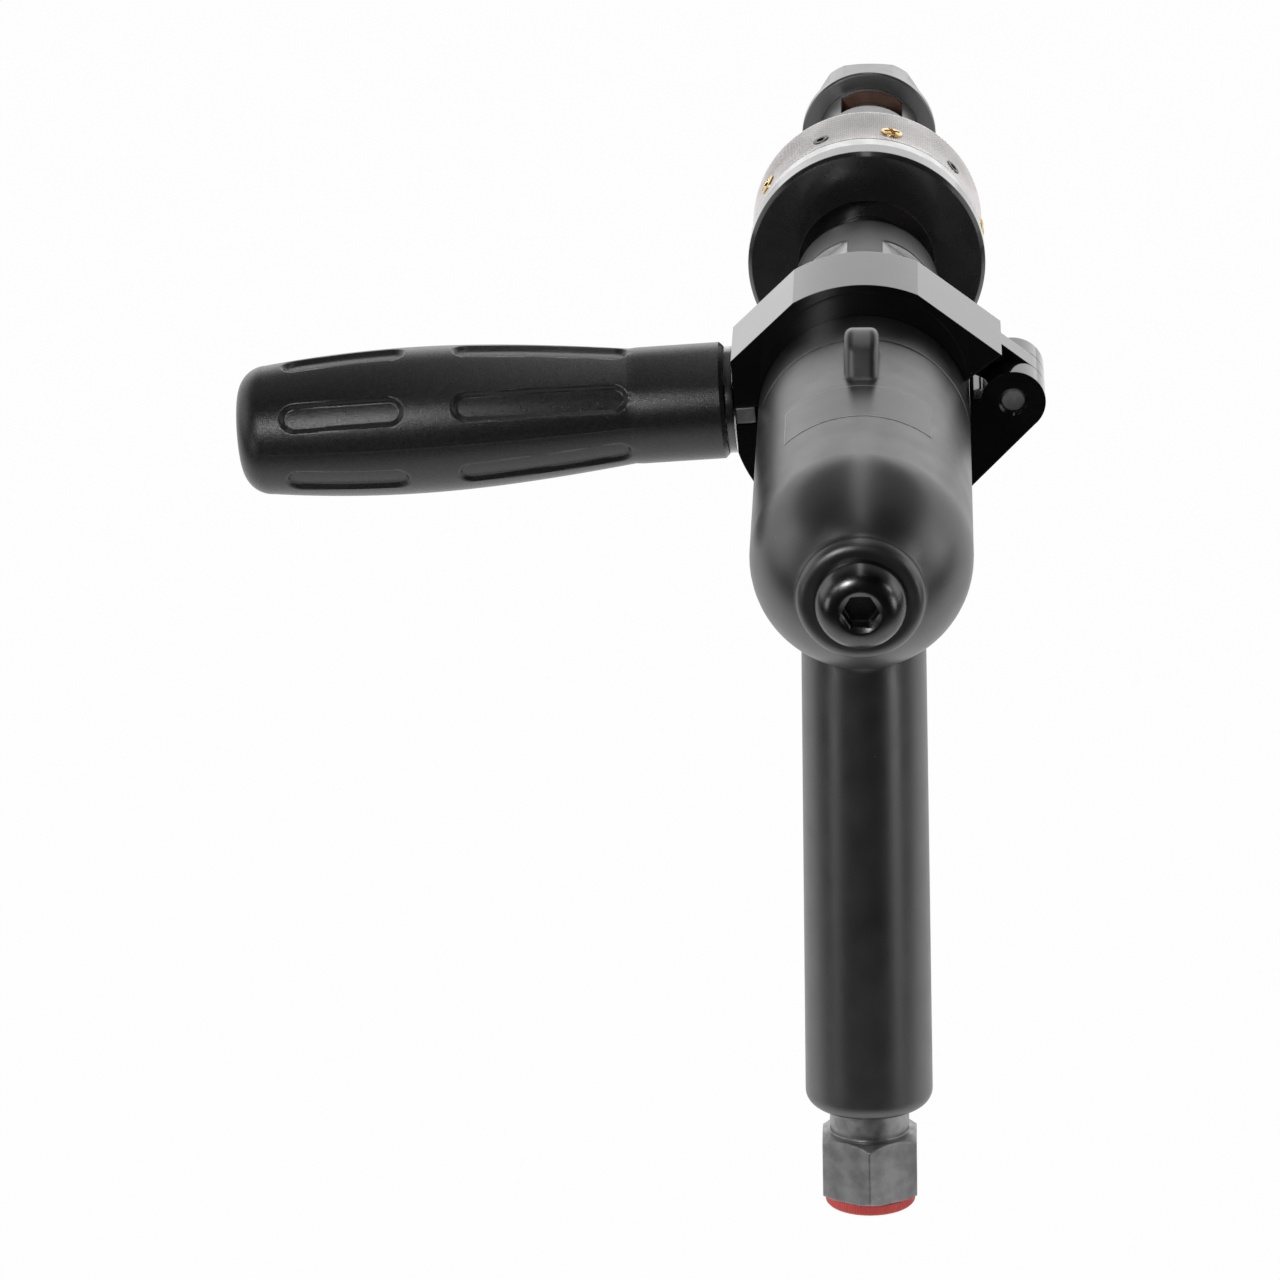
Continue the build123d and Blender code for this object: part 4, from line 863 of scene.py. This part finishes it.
def make_brass_screws(material):
    rows = [plain(BRASS_FOOT, 0), plain(BRASS_FOOT, BRASS_RADIUS), plain(BRASS_EDGE, BRASS_RADIUS)]
    for row in range(1, BRASS_CROWN_ROWS):
        part = 1 - row / BRASS_CROWN_ROWS
        rows.append(plain(BRASS_EDGE + BRASS_CROWN * (1 - part ** 2), BRASS_RADIUS * part))
    rows.append(plain(BRASS_EDGE + BRASS_CROWN, 0))
    points, faces = at_seats(rows, BRASS_SEAT_ANGLE)
    screws = finish_piece("cross_head_brass_screws", points, faces, material, "torque_ring")
    cut_seats(screws, [cross_cutter(0.0), cross_cutter(math.pi / 2)])
    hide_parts("brass_set_screws")


def make_ring(material):
    knurl_start = RING_START + RING_BAND + RING_GROOVE_WIDTH
    knurl_end = RING_END - RING_FRONT_EDGE
    groove = RING_RADIUS - RING_GROOVE_DEPTH
    rows = [
        plain(RING_START, RING_THREAD_RADIUS),
        plain(RING_START, RING_RADIUS - RING_REAR_EDGE),
        plain(RING_START + RING_REAR_EDGE, RING_RADIUS),
        plain(RING_START + RING_BAND, RING_RADIUS),
        plain(RING_START + RING_BAND, groove),
        plain(knurl_start, groove),
    ]
    for along in spread(knurl_start, knurl_end, KNURL_PITCH / KNURL_STEPS):
        rows.append(carved(along, RING_RADIUS))
    rows += [
        plain(RING_END - RING_FRONT_EDGE / 2, RING_RADIUS - KNURL_DEPTH),
        plain(RING_END, RING_RADIUS - RING_FRONT_EDGE),
        plain(RING_END, RING_MOUTH_RADIUS),
        plain(RING_END - RING_WALL, RING_MOUTH_RADIUS),
        plain(RING_END - RING_WALL, RING_THREAD_RADIUS),
    ]
    points, faces = turned(rows, KNURL_COUNT * KNURL_STEPS, tool_frame(), knurl_depth, closed=True)
    ring = finish_piece("knurled_torque_ring", points, faces, material, "torque_ring")
    brass_seats = seat_cutter(BRASS_SEAT_RADIUS, BRASS_SEAT_ANGLE)
    dark_seats = seat_cutter(DARK_SEAT_RADIUS, DARK_SEAT_ANGLE)
    cut_seats(ring, [brass_seats, dark_seats])
    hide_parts("torque_ring")


# Side handle, whose outline is two cubics that meet at the swell with one slope and one curvature
def cubic(along, first, second):
    start, start_radius, start_slope = first
    end, end_radius, end_slope = second
    span = end - start
    part = (along - start) / span
    rest = 1 - part
    ends = start_radius * (1 + 2 * part) * rest ** 2 + end_radius * (1 + 2 * rest) * part ** 2
    return ends + span * part * rest * (start_slope * rest - end_slope * part)


def swell_slope():
    rear = HANDLE_SWELL - HANDLE_WAIST
    front = HANDLE_END - HANDLE_SWELL
    rise = (HANDLE_SWELL_RADIUS - HANDLE_WAIST_RADIUS) / rear ** 2
    fall = (HANDLE_END_RADIUS - HANDLE_SWELL_RADIUS) / front ** 2
    bend = 3 * (rise + fall) - HANDLE_WAIST_SLOPE / rear - HANDLE_END_SLOPE / front
    return bend / (2 / rear + 2 / front)


def handle_radius(along):
    swell = (HANDLE_SWELL, HANDLE_SWELL_RADIUS, swell_slope())
    if along < HANDLE_SWELL:
        return cubic(along, (HANDLE_WAIST, HANDLE_WAIST_RADIUS, HANDLE_WAIST_SLOPE), swell)
    return cubic(along, swell, (HANDLE_END, HANDLE_END_RADIUS, HANDLE_END_SLOPE))


def eased(part):
    return part * part * (3 - 2 * part)


def flute_depth(along, radius, angle):
    sector = math.tau / FLUTE_COUNT
    offset = (angle + sector / 2) % sector - sector / 2
    across = abs(offset) * radius
    for centre, length in (END_FLUTES, COLLAR_FLUTES):
        beyond = max(abs(along - centre) - (length - FLUTE_WIDTH) / 2, 0.0)
        inside = FLUTE_WIDTH / 2 - math.hypot(beyond, across)
        if inside > 0:
            part = min(inside / FLUTE_WALL, 1.0)
            return FLUTE_DEPTH * (part + eased(part)) / 2
    on_mould_line = abs(math.cos(angle)) < math.sin(math.pi / HANDLE_STEPS)
    return -MOULD_LINE if on_mould_line else 0.0


def make_handle(material, joint):
    axis = Vector(joint["axis"]).normalized()
    start = Vector(joint["pos_m"]) - axis * HANDLE_PIVOT * MM
    place = axis_frame(start, axis, Vector((axis.z, 0, -axis.x)))
    rows = [
        plain(HANDLE_BORE_LENGTH, 0),
        plain(HANDLE_BORE_LENGTH, HANDLE_BORE_RADIUS),
        plain(0, HANDLE_BORE_RADIUS),
        plain(0, HANDLE_COLLAR_RADIUS - HANDLE_COLLAR_EDGE),
        plain(HANDLE_COLLAR_EDGE, HANDLE_COLLAR_RADIUS),
        plain(HANDLE_COLLAR_LENGTH, HANDLE_COLLAR_RADIUS),
    ]
    for along in spread(HANDLE_WAIST, HANDLE_END, HANDLE_ROW):
        rows.append(carved(along, handle_radius(along)))
    for step in range(1, HANDLE_END_STEPS + 1):
        slant = math.pi / 2 * step / HANDLE_END_STEPS
        along = HANDLE_END + HANDLE_END_ROUND * math.sin(slant)
        rows.append(plain(along, HANDLE_END_RADIUS - HANDLE_END_ROUND * (1 - math.cos(slant))))
    rows.append(plain(HANDLE_LENGTH, 0))
    points, faces = turned(rows, HANDLE_STEPS, place, flute_depth)
    handle = finish_piece("fluted_side_handle", points, faces, material, "side_handle")
    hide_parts("side_handle_grip")


# Dust cap
def rib_depth(along, radius, angle):
    return CAP_RIB_DEPTH * zigzag(CAP_RIBS * angle / math.tau)


def make_cap(material, joint):
    axis = -Vector(joint["axis"]).normalized()
    origin = (TOOL_AXIS * (GRIP_STATION - NOSE_STATION) - axis * CAP_BELOW_AXIS) * MM
    place = axis_frame(origin, axis, RIGHT)
    rows = (
        plain(CAP_DISH_DEPTH, 0),
        plain(CAP_DISH_DEPTH, CAP_DISH_RADIUS),
        plain(0, CAP_DISH_RADIUS + CAP_DISH_DEPTH),
        plain(0, CAP_RADIUS - CAP_EDGE),
        carved(CAP_EDGE, CAP_RADIUS),
        carved(CAP_FLANGE - CAP_EDGE / 2, CAP_RADIUS),
        plain(CAP_FLANGE, CAP_RADIUS - CAP_EDGE),
        plain(CAP_FLANGE, CAP_PLUG_RADIUS),
        plain(CAP_HEIGHT - CAP_EDGE, CAP_PLUG_RADIUS),
        plain(CAP_HEIGHT, CAP_PLUG_RADIUS - CAP_EDGE),
        plain(CAP_HEIGHT, CAP_PLUG_BORE),
        plain(CAP_FLANGE, CAP_PLUG_BORE),
        plain(CAP_FLANGE, 0),
    )
    points, faces = turned(rows, CAP_RIBS * CAP_RIB_STEPS, place, rib_depth)
    cap = finish_piece("ribbed_dust_cap", points, faces, material, "dust_cap")
    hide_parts("dust_cap")


# Valve springs, coils as long as the solid springs that they replace
def coil(place, length):
    count = SPRING_TURNS * SPRING_TURN_STEPS
    points = []
    for step in range(count + 1):
        part = step / count
        rise = part - SPRING_CLOSED_ENDS * math.sin(math.tau * part) / math.tau
        along = SPRING_WIRE_RADIUS + (length - 2 * SPRING_WIRE_RADIUS) * rise
        for side in range(SPRING_WIRE_STEPS):
            slant = math.tau * side / SPRING_WIRE_STEPS
            radius = SPRING_RADIUS + SPRING_WIRE_RADIUS * math.cos(slant)
            height = along + SPRING_WIRE_RADIUS * math.sin(slant)
            points.append(place(height, radius, math.tau * SPRING_TURNS * part))
    faces = [list(range(SPRING_WIRE_STEPS)), list(range(len(points) - SPRING_WIRE_STEPS, len(points)))]
    for step in range(count):
        low = step * SPRING_WIRE_STEPS
        high = low + SPRING_WIRE_STEPS
        for side in range(SPRING_WIRE_STEPS):
            after = (side + 1) % SPRING_WIRE_STEPS
            faces.append([low + side, low + after, high + after, high + side])
    return points, faces


def make_valve_spring(name, material, joint):
    axis = Vector(joint["axis"]).normalized()
    solid = nodes[f"{name}_valve_spring"]
    corners = [Vector(corner) for corner in solid.bound_box]
    centre = sum(corners, Vector()) / len(corners)
    reach = [vertex.co.dot(axis) for vertex in solid.data.vertices]
    length = max(reach) - min(reach)
    start = centre - axis * length / 2
    points, faces = coil(axis_frame(start, axis, RIGHT), length / MM)
    spring = finish_piece(f"{name}_coil_spring", points, faces, material, "housing")
    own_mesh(spring)
    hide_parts(solid.name)


# Blank label, a thin bent sheet with a paler border
def label_rows(first, last, border, count):
    inner = spread(first + border, last - border, (last - first) / count)
    return [first] + inner + [last]


def label_sheet():
    place = tool_frame()
    stations = label_rows(*LABEL_STATIONS, LABEL_BORDER, LABEL_ROWS)
    angles = label_rows(*LABEL_ANGLES, LABEL_BORDER / LABEL_RADIUS, LABEL_STEPS)
    wide = len(angles)
    sheet = len(stations) * wide
    points = []
    for radius in (LABEL_RADIUS, LABEL_BOTTOM_RADIUS):
        points += [place(station, radius, angle) for station in stations for angle in angles]
    faces = []
    borders = []
    for row in range(len(stations) - 1):
        for step in range(wide - 1):
            corner = row * wide + step
            face = [corner, corner + 1, corner + wide + 1, corner + wide]
            faces += [face, [index + sheet for index in face]]
            on_border = row in (0, len(stations) - 2) or step in (0, wide - 2)
            borders += [on_border, True]
    around = list(range(wide))
    around += [row * wide + wide - 1 for row in range(1, len(stations))]
    around += [sheet - 1 - step for step in range(1, wide)]
    around += [row * wide for row in range(len(stations) - 2, 0, -1)]
    for first, second in zip(around, around[1:] + around[:1]):
        faces.append([first, second, second + sheet, first + sheet])
        borders.append(True)
    return points, faces, borders


def make_label(film, edge):
    points, faces, borders = label_sheet()
    label = finish_piece("blank_label", points, faces, film, "housing")
    label.data.materials.append(edge)
    for polygon, on_border in zip(label.data.polygons, borders):
        polygon.material_index = int(on_border)


def add_pieces(finishes):
    joints = {joint["name"]: joint for joint in frame["joints"]}
    make_ring(knurled_silver())
    make_brass_screws(finishes["brass"])
    make_handle(finishes["handle_plastic"], joints["side_handle_turn"])
    make_cap(finishes["red_plastic"], joints["dust_cap_pull"])
    make_label(label_film(), label_edge())
    for name in ("forward", "reverse"):
        make_valve_spring(name, finishes["steel"], joints[f"{name}_trigger_press"])


finishes = {make.__name__: make() for make in MATERIALS}
dress_nodes(finishes)
add_pieces(finishes)
place_camera()
light_world()
light_studio()
make_floor()
scene.view_settings.view_transform = "Standard"
